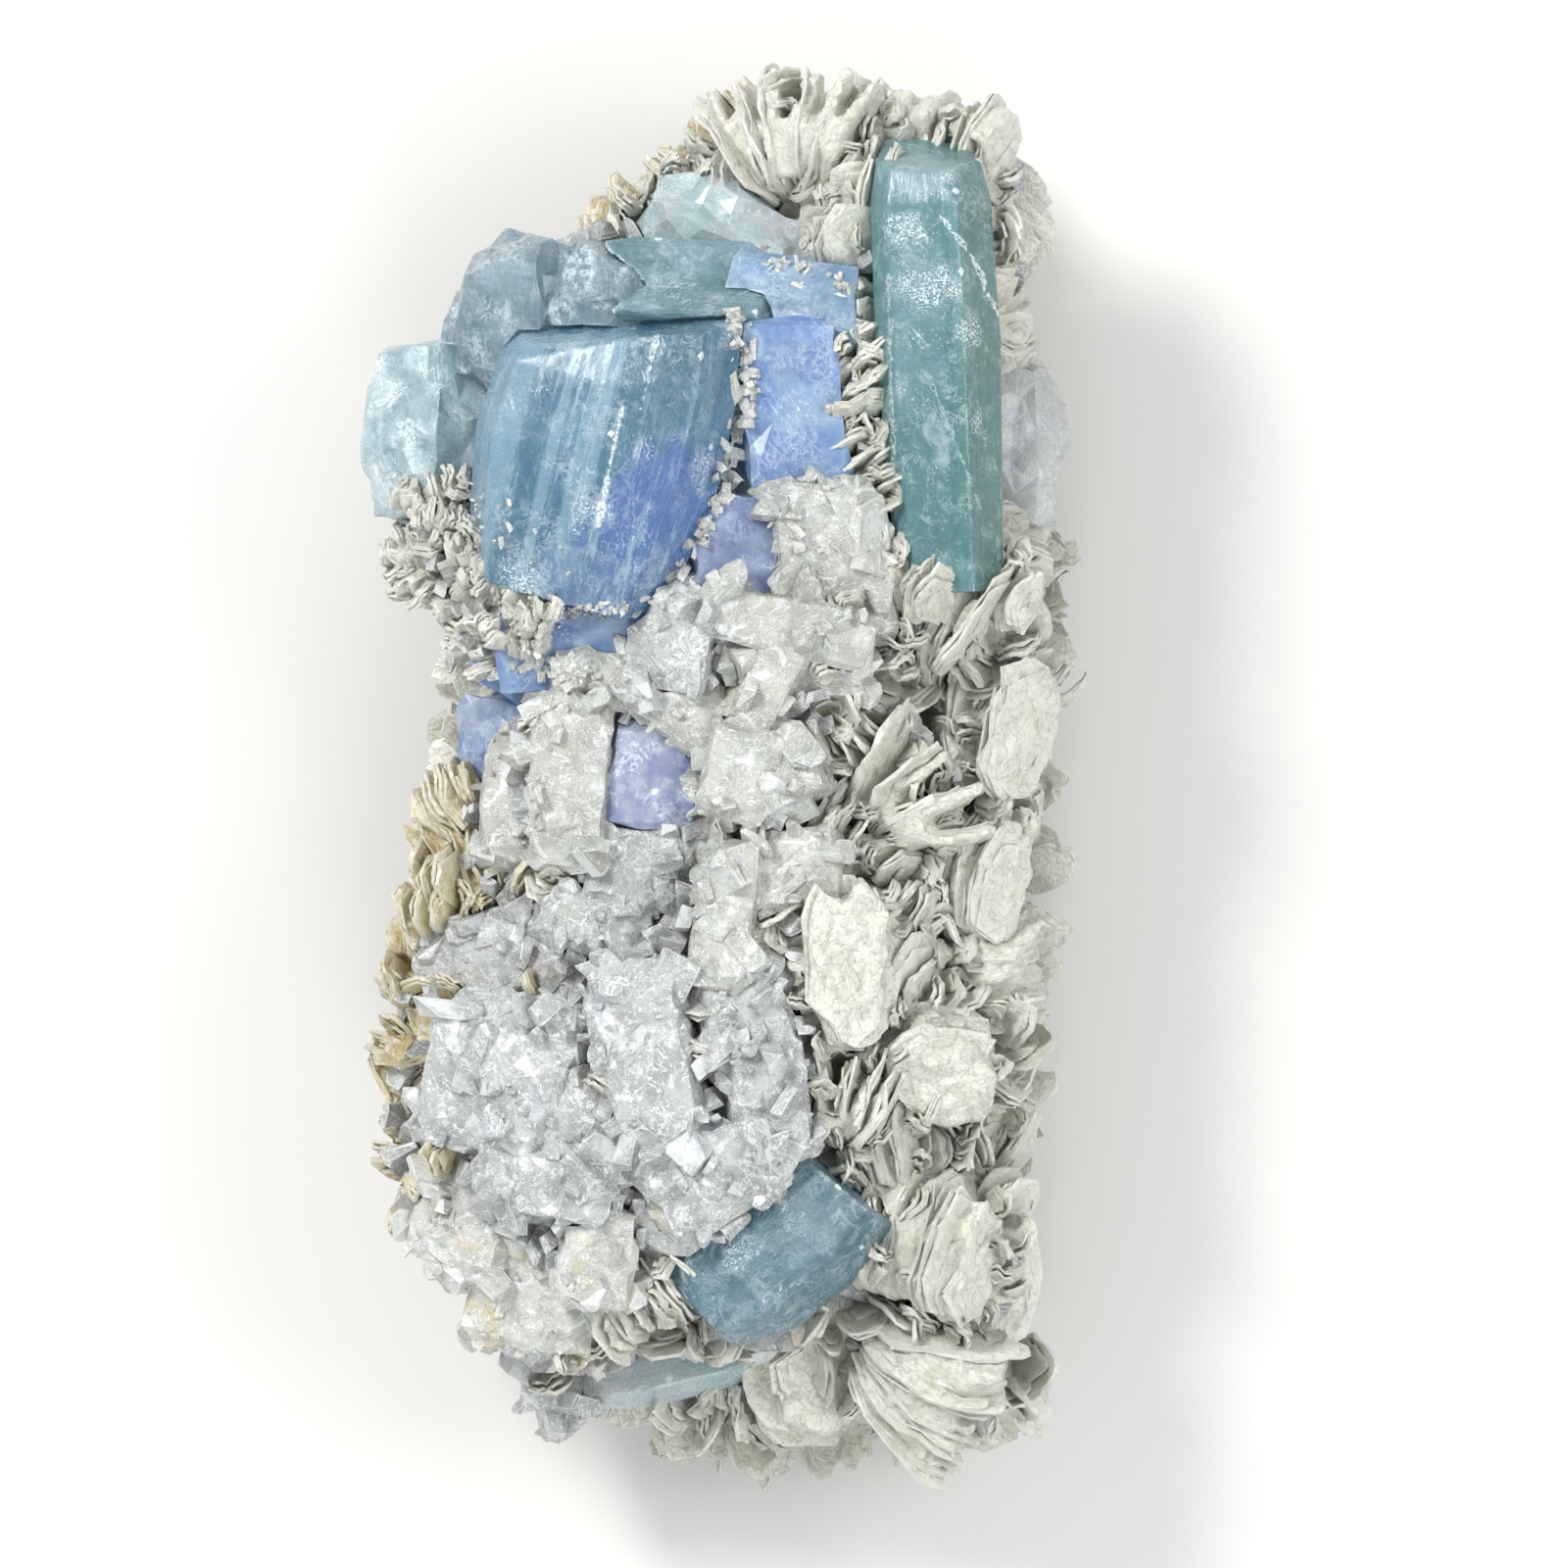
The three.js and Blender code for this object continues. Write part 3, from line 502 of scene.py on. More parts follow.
crystals = {
    "tallAquamarine": {
        **beryl, "node": "aquamarine_tall", "grow": (-0.055, 1, 0.05), "face": (0.05, 0, 1),
        "middle": (18.5, 14.6, 31.5), "deep": "71acab", "body": "8dc2c7", "pale": "a0ccd4",
        "streaks": 0.25, "lines": 0.12, "frost": 0.75, "gloss": 0.14, "clear": 0.65,
        "bands": [
            {"across": 5.2, "half": 3.4, "share": 0.75, "colour": "5e9690"},
            {"across": -2.4, "half": 2.4, "share": 0.4, "colour": "99c3cb"},
            {"across": 0.6, "half": 0.30, "share": 0.5, "colour": "579798"},
        ],
        "patches": [
            {"at": (16.3, 50, 38), "radius": 4.2, "share": 0.8, "colour": "b9dae3"},
            {"at": (20, 24, 36), "radius": 8, "share": 0.6, "colour": "5f9d9a"},
        ],
        "clusters": [
            {"at": (16.4, 39, 38), "radius": 3.4}, {"at": (20.4, 35.6, 37), "radius": 2},
            {"at": (18.6, 47.6, 38), "radius": 2}, {"at": (14.6, 21, 38), "radius": 2.4},
            {"at": (21.4, 27, 36), "radius": 1.8},
            {"at": (13.8, 30, 38), "radius": 2.6}, {"at": (14.2, 44, 38), "radius": 2.2},
        ],
        "cracks": [
            {"from": (17.6, 44.6), "to": (20.2, 41.4), "half": 0.18, "share": 0.9},
            {"from": (20.2, 41.4), "to": (23.2, 35.3), "half": 0.21, "share": 0.9},
            {"from": (13.4, 40), "to": (14, 20), "half": 0.21, "share": 0.5},
            {"from": (17, 31), "to": (21, 21), "half": 0.15, "share": 0.35},
        ],
    },
    "mainAquamarine": {
        **beryl, "node": "aquamarine_main", "grow": (0.25, 0.96, 0.1),
        "face": (-0.04, -0.05, 1), "middle": (-12.9, 14, 33.4), "deep": "588aa8", "body": "75a8c6",
        "pale": "c1e0ef", "cloud": 8, "line": 1.5, "streaks": 0.85, "lines": 0.34, "frost": 0.45,
        "clear": 0.6,
        "bands": [
            {"across": -8.6, "half": 3, "share": 0.75, "colour": "a8cfe3"},
            {"across": -5.2, "half": 1.2, "share": 0.5, "colour": "5489a2"},
            {"across": -3.4, "half": 0.48, "share": 0.6, "colour": "b2d5e5"},
            {"across": -0.6, "half": 1.1, "share": 0.6, "colour": "abd1e2"},
            {"across": 3.4, "half": 3, "share": 0.7, "colour": "52869a"},
            {"across": 7.6, "half": 0.48, "share": 0.5, "colour": "9fc4d6"},
        ],
        "patches": [
            {"at": (-3.5, 18.5, 40), "radius": 8, "share": 0.8, "colour": "6484d2"},
            {"at": (-9, 15, 38), "radius": 6, "share": 0.65, "colour": "5b8ac1"},
            {"at": (-12, 36, 40), "radius": 3.4, "share": 0.5, "colour": "c7e3ec"},
        ],
        "clusters": [
            {"at": (-10.4, 21, 40), "radius": 2.6}, {"at": (-16, 15.6, 38), "radius": 3},
            {"at": (-1, 24, 39), "radius": 2.2}, {"at": (0.6, 35.6, 38), "radius": 2},
            {"at": (-5, 15.4, 39), "radius": 2.6},
        ],
        "cracks": [
            {"from": (-7.8, 29.2), "to": (-9.9, 19.8), "half": 0.27, "share": 0.9},
            {"from": (0.6, 37.5), "to": (2.6, 32.2), "half": 0.48, "share": 0.9},
            {"from": (2.6, 32.2), "to": (0.2, 23.2), "half": 0.36, "share": 0.8},
            {"from": (-5, 35), "to": (-6.4, 29), "half": 0.18, "share": 0.7},
        ],
    },
    "leftAquamarine": {
        **paleBeryl, "node": "aquamarine_left", "fibres": 1.2, "grow": (0.06, 1, 0.05),
        "face": (-0.25, 0, 1),
        "deep": "8eaeb4", "body": "d4e7ec", "clear": 0.45,
    },
    "lowerAquamarine": {
        **beryl, "node": "aquamarine_lower", "grow": (0.74, 0.67, 0.05), "face": (0.05, -0.1, 1),
        "deep": "5d8a98", "body": "7aa8b6", "pale": "b3cfd8", "line": 1.2, "frost": 1.15, "lines": 0.4,
        "clusters": [
            {"at": (8.6, -37, 36), "radius": 3.6}, {"at": (3, -41.6, 35), "radius": 2.6},
            {"at": (1, -38.6, 34), "radius": 2.2}, {"at": (9.6, -33, 35), "radius": 2.4},
        ],
        "patches": [{"at": (8, -36, 36), "radius": 4.5, "share": 0.35, "colour": "b8d3db"}],
    },
    "bottomAquamarine": {
        **beryl, "node": "aquamarine_bottom", "grow": (0.97, 0.22, 0.02), "face": (0, -0.35, 1),
        "deep": "d2f1f1", "body": "f1f1f1", "pale": "f7f7f7", "frost": 1,
    },
    "upperAquamarine": {
        **paleBeryl, "node": "aquamarine_upper", "grow": (0.86, -0.48, 0.12), "face": (-0.1, 0.1, 1),
        "deep": "cdedf1", "body": "f1f1f1", "pale": "f7f7f7",
    },
    "behindTallAquamarine": {
        **paleBeryl, "node": "aquamarine_behind_tall", "grow": (0.01, 1, 0.02), "face": (0.45, 0, 1),
        "deep": "f1f1f1", "body": "f1f1f1", "pale": "f7f7f7", "lines": 0.5,
    },
    "backAquamarine": {
        **paleBeryl, "node": "aquamarine_back", "grow": (-0.05, 1, 0.15), "face": (-0.35, 0, 1),
        "deep": "7d9da7", "body": "aec5d1",
    },
    "greenAquamarine": {
        **beryl, "node": "aquamarine_green", "grow": (1, -0.06, -0.06), "face": (0.1, 0.45, 1),
        "deep": "6f9c9c", "body": "a5cbd8", "pale": "d0e6ec",
    },
    "upperFluorite": {
        **violet, "node": "fluorite_upper", "grow": (1, -0.12, -0.05), "face": (0, 0.2, 1),
        "deep": "8ab0d3", "body": "bcd8ef", "pale": "daebf3",
    },
    "rightFluorite": {
        **violet, "node": "fluorite_right", "grow": (-0.1, 1, 0.05), "face": (0.2, 0, 1),
        "deep": "80a2e2", "body": "aacdf1", "pale": "d2e8f7",
    },
    "lowRightFluorite": {
        **violet, "node": "fluorite_low_right", "grow": (0.15, 1, 0), "face": (0.15, 0, 1),
        "deep": "8298d0", "body": "a9bbdd", "pale": "ccd8ea",
    },
    "lowFluorite": {
        **violet, "node": "fluorite_low", "grow": (1, 0.1, 0.05), "face": (0, -0.3, 1),
        "deep": "7ba2f1", "body": "b0d5f1", "pale": "d4e1f7", "frost": 0.7,
    },
    "leftFluorite": {
        **violet, "node": "fluorite_left", "grow": (0.05, 1, 0), "face": (-0.35, 0, 1),
        "deep": "93adde", "body": "c4d4ec", "pale": "f2f6f3",
    },
    "middleFluorite": {
        **violet, "node": "fluorite_middle", "grow": (0.1, 1, 0), "face": (0.1, 0.1, 1),
        "deep": "97a9e0", "body": "ccd5ef", "pale": "f7f7f7", "frost": 1.3, "fibres": 0.9,
    },
    "lilacFluorite": {
        **violet, "node": "fluorite_lilac", "grow": (0.7, -1, 0), "face": (-0.6, 0, 1),
        "deep": "b1b6f1", "body": "e0e5f1", "pale": "f7f7f7",
    },
}

broad, fine = growthLines["broad"], growthLines["fine"]
for pieceName, look in crystals.items():
    piece = copyNode(look["node"], pieceName, look["fatter"])
    turn = alignment(look["grow"], look["face"])
    remesh(piece, look["voxel"])
    roughen(piece, "CLOUDS", broad["grain"], look["lines"], (1, broad["along"], 1), turn, look["swell"],
            noise_depth=2, noise_basis="ORIGINAL_PERLIN")
    roughen(piece, "CLOUDS", fine["grain"], look["lines"] * fine["share"], (1, fine["along"], 1), turn,
            noise_depth=1, noise_basis="ORIGINAL_PERLIN")
    if look["chips"]:
        roughen(piece, "CLOUDS", look["chipSize"], look["chips"], noise_depth=2,
                noise_basis="IMPROVED_PERLIN")
        fracture(piece, look["facets"], 2)
    else:
        smooth(piece, 30)
    finish(piece, look["slot"], crystalMaterial(pieceName, look), look["node"])
print("crystals dressed")

# Albite: lumps of sugary feldspar with broken faces
albites = {
    "pointedAlbite": {"node": "albite_pointed", "lump": 0.7, "grit": 0.35, "look": "block"},
    "roughAlbite": {"node": "albite_rough_lump", "lump": 1.0, "grit": 0.5, "look": "lump"},
    "crossedAlbite": {"node": "albite_cross_blades", "lump": 0.6, "grit": 0.3, "look": "block"},
    "diagonalAlbite": {"node": "albite_diagonal", "lump": 0.8, "grit": 0.4, "look": "block"},
    "tallAlbite": {"node": "albite_tall_block", "lump": 0.6, "grit": 0.3, "look": "block"},
    "knotAlbite": {"node": "albite_knot", "lump": 0.5, "grit": 0.3, "look": "block"},
    "greyAlbite": {"node": "albite_grey_lump", "lump": 0.9, "grit": 0.5, "look": "grey"},
    "fingerAlbite": {"node": "albite_finger", "lump": 0.5, "grit": 0.35, "look": "block"},
    "slabAlbite": {"node": "albite_left_slab", "lump": 1.0, "grit": 0.5, "look": "lump"},
    "diamondAlbite": {"node": "albite_diamond", "lump": 0.9, "grit": 0.6, "look": "lump"},
    "rightAlbite": {"node": "albite_right_lobe", "lump": 1.1, "grit": 0.5, "look": "lump"},
    "lowerAlbite": {"node": "albite_lower_lobe", "lump": 1.2, "grit": 0.4, "look": "lump"},
    "leftAlbite": {"node": "albite_left_mass", "lump": 1.6, "grit": 0.6, "look": "lump"},
    "lowLeftAlbite": {"node": "albite_low_left", "lump": 1.5, "grit": 0.6, "look": "stained"},
    "footAlbite": {"node": "albite_foot", "lump": 0.8, "grit": 0.4, "look": "lump"},
}
# hollow is the colour of the painted shade in the grooves
albiteLooks = {
    "block": {"shade": "adaea3", "body": "c9cac0", "hollow": "97948a", "tinge": 0.3, "stain": "c0b79e",
              "clear": 0.15},
    "lump": {"shade": "9fa19c", "body": "babcb7", "hollow": "8e8c85", "tinge": 0.35, "stain": "adaec0",
             "clear": 0.1},
    "grey": {"shade": "9c9f99", "body": "b4b7b0", "hollow": "87847d", "tinge": 0.35, "stain": "a7a4be",
             "clear": 0.15},
    "stained": {"shade": "babab0", "body": "d0d1c8", "hollow": "9f9885", "tinge": 0.6, "stain": "d5c276",
                "clear": 0.1},
}
albiteMaterials = {name: albiteMaterial(f"albite {name}", look) for name, look in albiteLooks.items()}
albiteBlades = {"perArea": 0.09, "sizes": (1.3, 4)}  # for each square millimetre; millimetres
albiteSplinters = {"perArea": 0.14, "sizes": (0.5, 1.5)}
albiteBreak = {"fatter": 0.3, "voxel": 0.3, "swell": 4, "corner": 2.8, "cornerDepth": 0.6, "facetArea": 0.7}


def breakUp(piece, lump, grit):
    # a lump of albite swollen, then broken into flat faces of about facetArea square millimetres
    remesh(piece, albiteBreak["voxel"])
    roughen(piece, "CLOUDS", albiteBreak["swell"], lump * 0.7, level=0.45, noise_depth=2,
            noise_basis="ORIGINAL_PERLIN")
    roughen(piece, "VORONOI", albiteBreak["corner"], albiteBreak["cornerDepth"] + grit, level=0.4,
            distance_metric="CHEBYCHEV")
    area = sum(face.area for face in piece.data.polygons) / mm ** 2
    fracture(piece, area / albiteBreak["facetArea"], 2)


for seed, (pieceName, look) in enumerate(albites.items()):
    piece = copyNode(look["node"], pieceName, albiteBreak["fatter"])
    breakUp(piece, look["lump"], look["grit"])
    rng = random.Random(seed)
    blades = sprinkle(piece, rng, bladePatterns, **albiteBlades)
    splinters = sprinkle(piece, rng, grainPatterns, **albiteSplinters)
    joinPieces([piece] + blades + splinters, pieceName)
    finish(piece, "albite", albiteMaterials[look["look"]], look["node"])
print("albite dressed")

# Rock
rockLook = {"shade": "a39d90", "body": "cdc8bb", "fleck": "e6e4dc", "voxel": 0.7,
            "swells": (5, 1.2), "pits": (1.8, 0.8)}  # size and depth in millimetres
rock = copyNode("matrix_rock", "rock")
remesh(rock, rockLook["voxel"])
roughen(rock, "CLOUDS", *rockLook["swells"], noise_depth=2)
roughen(rock, "VORONOI", *rockLook["pits"])
smooth(rock, 30)
finish(rock, "matrix", rockMaterial("rock", rockLook), "matrix_rock")
print("rock dressed")


# Mica leaves: nine thin sheets that every book copies. A leaf grows from y=0 to y=2
leafShape = {"corners": 17, "inset": 0.42, "ragged": 0.18, "thickness": 0.075, "bow": 0.09}


def modelLeaf(number):
    bpy.ops.mesh.primitive_circle_add(vertices=leafShape["corners"], radius=1, fill_type="NGON",
                                      location=(0, 0, 0))
    leaf = bpy.context.object
    leaf.name = f"leafPattern{number}"
    bpy.ops.object.mode_set(mode="EDIT")
    bpy.ops.mesh.select_all(action="SELECT")
    bpy.ops.mesh.inset(thickness=leafShape["inset"])
    bpy.ops.mesh.select_all(action="SELECT")
    bpy.ops.transform.vertex_random(offset=leafShape["ragged"], uniform=0.2, seed=number)
    bpy.ops.transform.resize(value=(1, 1, 0.4))
    bpy.ops.transform.translate(value=(0, 1, 0))
    bpy.ops.object.mode_set(mode="OBJECT")
    bow = 0.03 + leafShape["bow"] * (number % 3)
    # rim: distance from the leaf's middle, used for the painted highlight on its edge
    rim = leaf.data.attributes.new("rim", "FLOAT", "POINT")
    for vertex in leaf.data.vertices:
        x, y, z = vertex.co
        rim.data[vertex.index].value = min(1, math.hypot(x, y - 1))
        vertex.co.x = x * (1.05 - 0.16 * max(0, y - 0.7))
        vertex.co.z = z - bow * (0.6 * x * x + 0.5 * (y - 0.6) ** 2) + 0.1 * bow
    solidify = leaf.modifiers.new("Solidify", "SOLIDIFY")
    solidify.thickness = leafShape["thickness"]
    solidify.offset = 0
    applyModifiers(leaf)
    smooth(leaf, 50)
    leaf.data.attributes.new("tone", "FLOAT", "POINT")
    sheet = leaf.data.attributes.new("sheet", "FLOAT_VECTOR", "POINT")
    for vertex in leaf.data.vertices:
        x, y, z = vertex.co
        sheet.data[vertex.index].vector = (x * 2, y, z * 32 + number)
    return leaf


deselectAll()
leafPatterns = [modelLeaf(number) for number in range(9)]


def placeLeaf(pattern, matrix, tone):
    leaf = placeCopy(pattern, matrix)
    values = leaf.data.attributes["tone"].data
    values.foreach_set("value", [tone] * len(values))
    return leaf


# Books of mica, in millimetres. at is the root of the middle plate, reach is half a leaf's length and width
books = {
    "mica_top_fan": {"at": (6.4, 46.6, 27), "grow": (-0.06, 1, 0.12), "face": (1, 0.05, 0.3),
                     "plates": 6, "reach": (5.7, 4.2), "step": 0.6, "slide": 0, "fan": 13},
    # mica_top_left's tones are kept light: painted light on leaves that lie in shadow
    "mica_top_left": {"at": (0.4, 45.2, 24), "grow": (-0.5, 0.85, 0.05), "face": (0.7, 0.4, 0.6),
                      "plates": 5, "reach": (3.6, 3.4), "step": 1.3, "slide": 0, "fan": 11,
                      "tones": (0.7, 1)},
    "mica_top_right": {"at": (16.8, 47.6, 26.6), "grow": (0.1, 1, 0.06), "face": (1, -0.1, 0.4),
                       "plates": 5, "reach": (4.1, 4), "step": 2.2, "slide": -0.2, "fan": 5},
    "mica_right_top": {"at": (19.8, 44.8, 25), "grow": (1, 0.05, 0), "face": (0.1, -0.6, 1),
                       "plates": 4, "reach": (3.6, 3.6), "step": 1.9, "slide": -0.3, "fan": 8},
    "mica_right_upper": {"at": (19.4, 35, 21.4), "grow": (1, 0, 0.15), "face": (-0.1, 1, 0.4),
                         "plates": 4, "reach": (3.4, 4.2), "step": 2.6, "slide": -0.4, "fan": 3},
    "mica_right_middle": {"at": (20, 16.4, 22.6), "grow": (1, 0, 0.1), "face": (0.1, -1, 0.6),
                          "plates": 4, "reach": (3.6, 4.4), "step": 2.7, "slide": 0, "fan": 5},
    "mica_beside_tall": {"at": (10.2, 28, 28.4), "grow": (-0.1, 0.7, 0.55), "face": (0.45, 0.8, 0.35),
                         "plates": 5, "reach": (2.8, 2.6), "step": 2.5, "slide": -0.4, "fan": 3},
    "mica_below_tall": {"at": (15, 8.6, 28.6), "grow": (0.06, 1, 0.3), "face": (1, -0.1, 0.4),
                        "plates": 5, "reach": (5.6, 4), "step": 1.4, "slide": 0, "fan": 13},
    "mica_shell_high": {"at": (20.4, -2.2, 23.4), "grow": (0.1, 1, 0), "face": (0.8, 0.1, 0.65),
                        "plates": 4, "reach": (6, 4.6), "step": 2.6, "slide": 0.2, "fan": 3},
    "mica_arc": {"at": (11.6, -4.6, 28.4), "grow": (0.55, 0.75, 0.3), "face": (0.75, -0.6, 0.35),
                 "plates": 6, "reach": (5.6, 4), "step": 0.8, "slide": 0, "fan": 18},
    "mica_pocket": {"at": (7.6, 3, 29), "grow": (0.3, -0.5, 0.8), "face": (0.7, 0.4, 0.2),
                    "plates": 4, "reach": (2.8, 2.6), "step": 1.3, "slide": 0, "fan": 15},
    "mica_shell_middle": {"at": (18.8, -13.6, 24.4), "grow": (0.04, 1, 0.05), "face": (0.75, 0.05, 0.65),
                          "plates": 4, "reach": (5.4, 4.2), "step": 2.5, "slide": 0.2, "fan": 4},
    # mica_column's tones are kept dark: painted shade on a top plate that the lamps light brightly
    "mica_column": {"at": (10.4, -22.4, 33.2), "grow": (0, 1, 0.05), "face": (0.3, 0.05, 1),
                    "plates": 3, "reach": (7, 3.2), "step": 1.7, "slide": 0.4, "fan": 3, "tones": (0, 0.2)},
    "mica_right_book": {"at": (18.6, -15.8, 24.6), "grow": (1, 0, 0), "face": (0, 0.9, 0.55),
                        "plates": 4, "reach": (4.1, 3.8), "step": 1.4, "slide": 0, "fan": 4},
    "mica_shell_low": {"at": (13.2, -23.6, 27.6), "grow": (1, 0.1, -0.1), "face": (0.25, -0.55, 0.8),
                       "plates": 4, "reach": (4.6, 5), "step": 2.3, "slide": 0.1, "fan": 3},
    "mica_thin_fan": {"at": (9, -30, 28.6), "grow": (0.1, 0.8, 0.6), "face": (1, -0.1, 0.1),
                      "plates": 5, "reach": (4.2, 2.6), "step": 1.1, "slide": 0, "fan": 11},
    "mica_low_middle": {"at": (15.2, -43.4, 25), "grow": (0.1, 1, 0.25), "face": (1, -0.15, 0.5),
                        "plates": 4, "reach": (5.9, 4), "step": 2.7, "slide": -0.4, "fan": 5},
    # mica_low_right's tones are kept light: painted light on leaves that the lamps leave dim
    "mica_low_right": {"at": (20.2, -47, 18.4), "grow": (-0.03, 1, 0.05), "face": (0.85, 0, 0.55),
                       "plates": 3, "reach": (6, 4.8), "step": 2.8, "slide": -0.2, "fan": 3,
                       "tones": (0.7, 1)},
    "mica_bottom_fan": {"at": (11.8, -46.8, 22.4), "grow": (0.8, -0.52, 0.05), "face": (0.5, 0.7, 0.5),
                        "plates": 6, "reach": (6.6, 4), "step": 0.8, "slide": 0, "fan": 7},
    "mica_bottom_middle": {"at": (7.4, -47.4, 15.6), "grow": (-0.1, -1, 0), "face": (0.25, -0.25, 0.95),
                           "plates": 4, "reach": (4.2, 5.2), "step": 2.2, "slide": -0.5, "fan": 4},
    "mica_bottom_right": {"at": (20.8, -49, 12.6), "grow": (0.16, -1, 0.05), "face": (0.8, 0.1, 0.5),
                          "plates": 4, "reach": (3.9, 4.4), "step": 2, "slide": -0.2, "fan": 5},
    "mica_pocket_low": {"at": (-6.2, -41, 26.6), "grow": (0.3, -0.4, 0.8), "face": (0.8, 0.6, 0.1),
                        "plates": 5, "reach": (3.2, 3), "step": 1.3, "slide": 0, "fan": 12},
    "golden_mica_high": {"at": (-18.4, -10.8, 23.6), "grow": (-0.36, 1, 0.1), "face": (0.9, 0.45, 0.3),
                         "plates": 6, "reach": (4.9, 3.6), "step": 0.6, "slide": 0, "fan": 9},
    "golden_mica_middle": {"at": (-21.2, -19.6, 19.6), "grow": (-0.5, 0.8, 0.05), "face": (0.9, 0.4, 0.4),
                           "plates": 5, "reach": (4, 3.8), "step": 0.9, "slide": 0, "fan": 9},
    "golden_mica_low": {"at": (-21.4, -28, 18.4), "grow": (-0.42, 1, 0), "face": (0.85, 0.3, 0.45),
                        "plates": 5, "reach": (4.2, 4.2), "step": 1.3, "slide": 0, "fan": 7},
    "mica_under_left": {"at": (-15.6, 15.6, 24.6), "grow": (-0.8, 0.5, 0), "face": (0.3, 0.45, 0.85),
                        "plates": 4, "reach": (5.4, 4.4), "step": 2.2, "slide": 0, "fan": 7},
}
micaLooks = {
    "mica": {"dark": "cdcab9", "light": "efefe4", "stain": "d8d7b8", "clear": 0.12},
    "golden_mica": {"dark": "c3ab6c", "light": "ece3bb", "stain": "dab656", "clear": 0.1},
}
micaMaterials = {name: micaMaterial(name, look) for name, look in micaLooks.items()}


def warp(piece, grain, strength):
    # bends space a little, so that leaves that lie on each other bend alike
    texture = bpy.data.textures.new(f"{piece.name} warp", "CLOUDS")
    texture.cloud_type = "COLOR"
    texture.noise_scale = grain * mm
    texture.noise_basis = "ORIGINAL_PERLIN"
    displace = piece.modifiers.new("Warp", "DISPLACE")
    displace.texture = texture
    displace.texture_coords = "LOCAL"
    displace.direction = "RGB_TO_XYZ"
    displace.strength = strength * mm
    applyModifiers(piece)


def buckle(piece, broad=1.8):
    # a broad warp and a fine one, in millimetres
    warp(piece, 3, broad)
    warp(piece, 1.1, 0.7)


anyTone = (0.1, 0.95)
packetShape = {"sheet": 0.22, "twist": 16, "aside": 0.15, "ahead": 0.3, "nod": 1.6, "turn": 5, "bow": 3.4,
               "sizes": (0.84, 1), "outer": 0.8, "shades": 0.2}


def modelPacket(rng, whole, length, width, thickness, tones=anyTone):
    # leaves that have grown together: widest in the middle of the packet, ragged at the edges
    shape = packetShape
    pattern = rng.choice(leafPatterns)
    tone = rng.uniform(*tones)
    sheets = max(3, round(thickness / shape["sheet"]))
    twist = rng.uniform(-shape["twist"], shape["twist"])
    leaves = []
    for sheet in range(sheets):
        depth = (sheet + 0.5) / sheets - 0.5
        outer = shape["outer"] if sheet in (0, sheets - 1) else 1
        size = (1 - 0.5 * depth * depth) * rng.uniform(*shape["sizes"]) * outer
        place = (
            Matrix.Translation((rng.uniform(-shape["aside"], shape["aside"]) * mm,
                                rng.uniform(0, shape["ahead"]) * mm, depth * thickness * mm))
            @ Matrix.Rotation(math.radians(rng.uniform(-shape["nod"], shape["nod"])), 4, "X")
            @ Matrix.Rotation(math.radians(twist + rng.uniform(-shape["turn"], shape["turn"])), 4, "Z")
            @ Matrix.Diagonal((width * size * mm, length * size * mm, shape["bow"] * mm, 1)))
        shade = min(1, max(0, tone + rng.uniform(-shape["shades"], shape["shades"])))
        leaves.append(placeLeaf(pattern, whole @ place, shade))
    return leaves


def modelBook(book, seed):
    rng = random.Random(seed)
    whole = Matrix.Translation(Vector(book["at"]) * mm) @ alignment(book["grow"], book["face"]).to_4x4()
    middle = (book["plates"] - 1) / 2
    halfLength, halfWidth = book["reach"]
    leaves = []
    perPlate = 2 if book["step"] > 1 else 1
    thickness = max(book["step"] / perPlate, 0.9)
    for packet in range(book["plates"] * perPlate):
        centre = (packet + 0.5) / perPlate - 0.5 - middle  # in plates, as in the CAD model
        turn = centre * book["fan"] + rng.uniform(-4, 4)
        size = rng.uniform(0.86, 1.06)
        place = (
            Matrix.Translation((rng.uniform(-0.4, 0.4) * mm, centre * book["slide"] * mm,
                                centre * book["step"] * mm))
            @ Matrix.Rotation(math.radians(turn), 4, "X")
            @ Matrix.Rotation(math.radians(rng.uniform(-6, 6)), 4, "Y"))
        leaves += modelPacket(rng, whole @ place, halfLength * size, halfWidth * size, thickness,
                              book.get("tones", anyTone))
    return leaves


coreLook = {"fatter": -0.45, "voxel": 0.55, "tone": 0.4, "fanned": 8}  # fanned: degrees between plates


def bookCore(nodeName, book):
    # the thick plates behind the leaves, marked with lines that follow the plates
    core = copyNode(nodeName, f"core_{nodeName}", coreLook["fatter"])
    remesh(core, coreLook["voxel"])
    smooth(core, 40)
    tone = core.data.attributes.new("tone", "FLOAT", "POINT")
    tone.data.foreach_set("value", [coreLook["tone"]] * len(core.data.vertices))
    upright = alignment(book["grow"], book["face"]).transposed()
    sheet = core.data.attributes.new("sheet", "FLOAT_VECTOR", "POINT")
    for vertex in core.data.vertices:
        x, y, z = upright @ (vertex.co / mm - Vector(book["at"]))
        level = math.atan2(z, max(y, 1)) * book["reach"][0] if book["fan"] > coreLook["fanned"] else z
        sheet.data[vertex.index].vector = (x / 2, y / 3, level * 5)
    return core


for seed, (nodeName, book) in enumerate(books.items()):
    kind = "golden_mica" if nodeName.startswith("golden") else "mica"
    piece = joinPieces(modelBook(book, seed) + [bookCore(nodeName, book)], f"book_{nodeName}")
    buckle(piece)
    finish(piece, kind, micaMaterials[kind], nodeName)

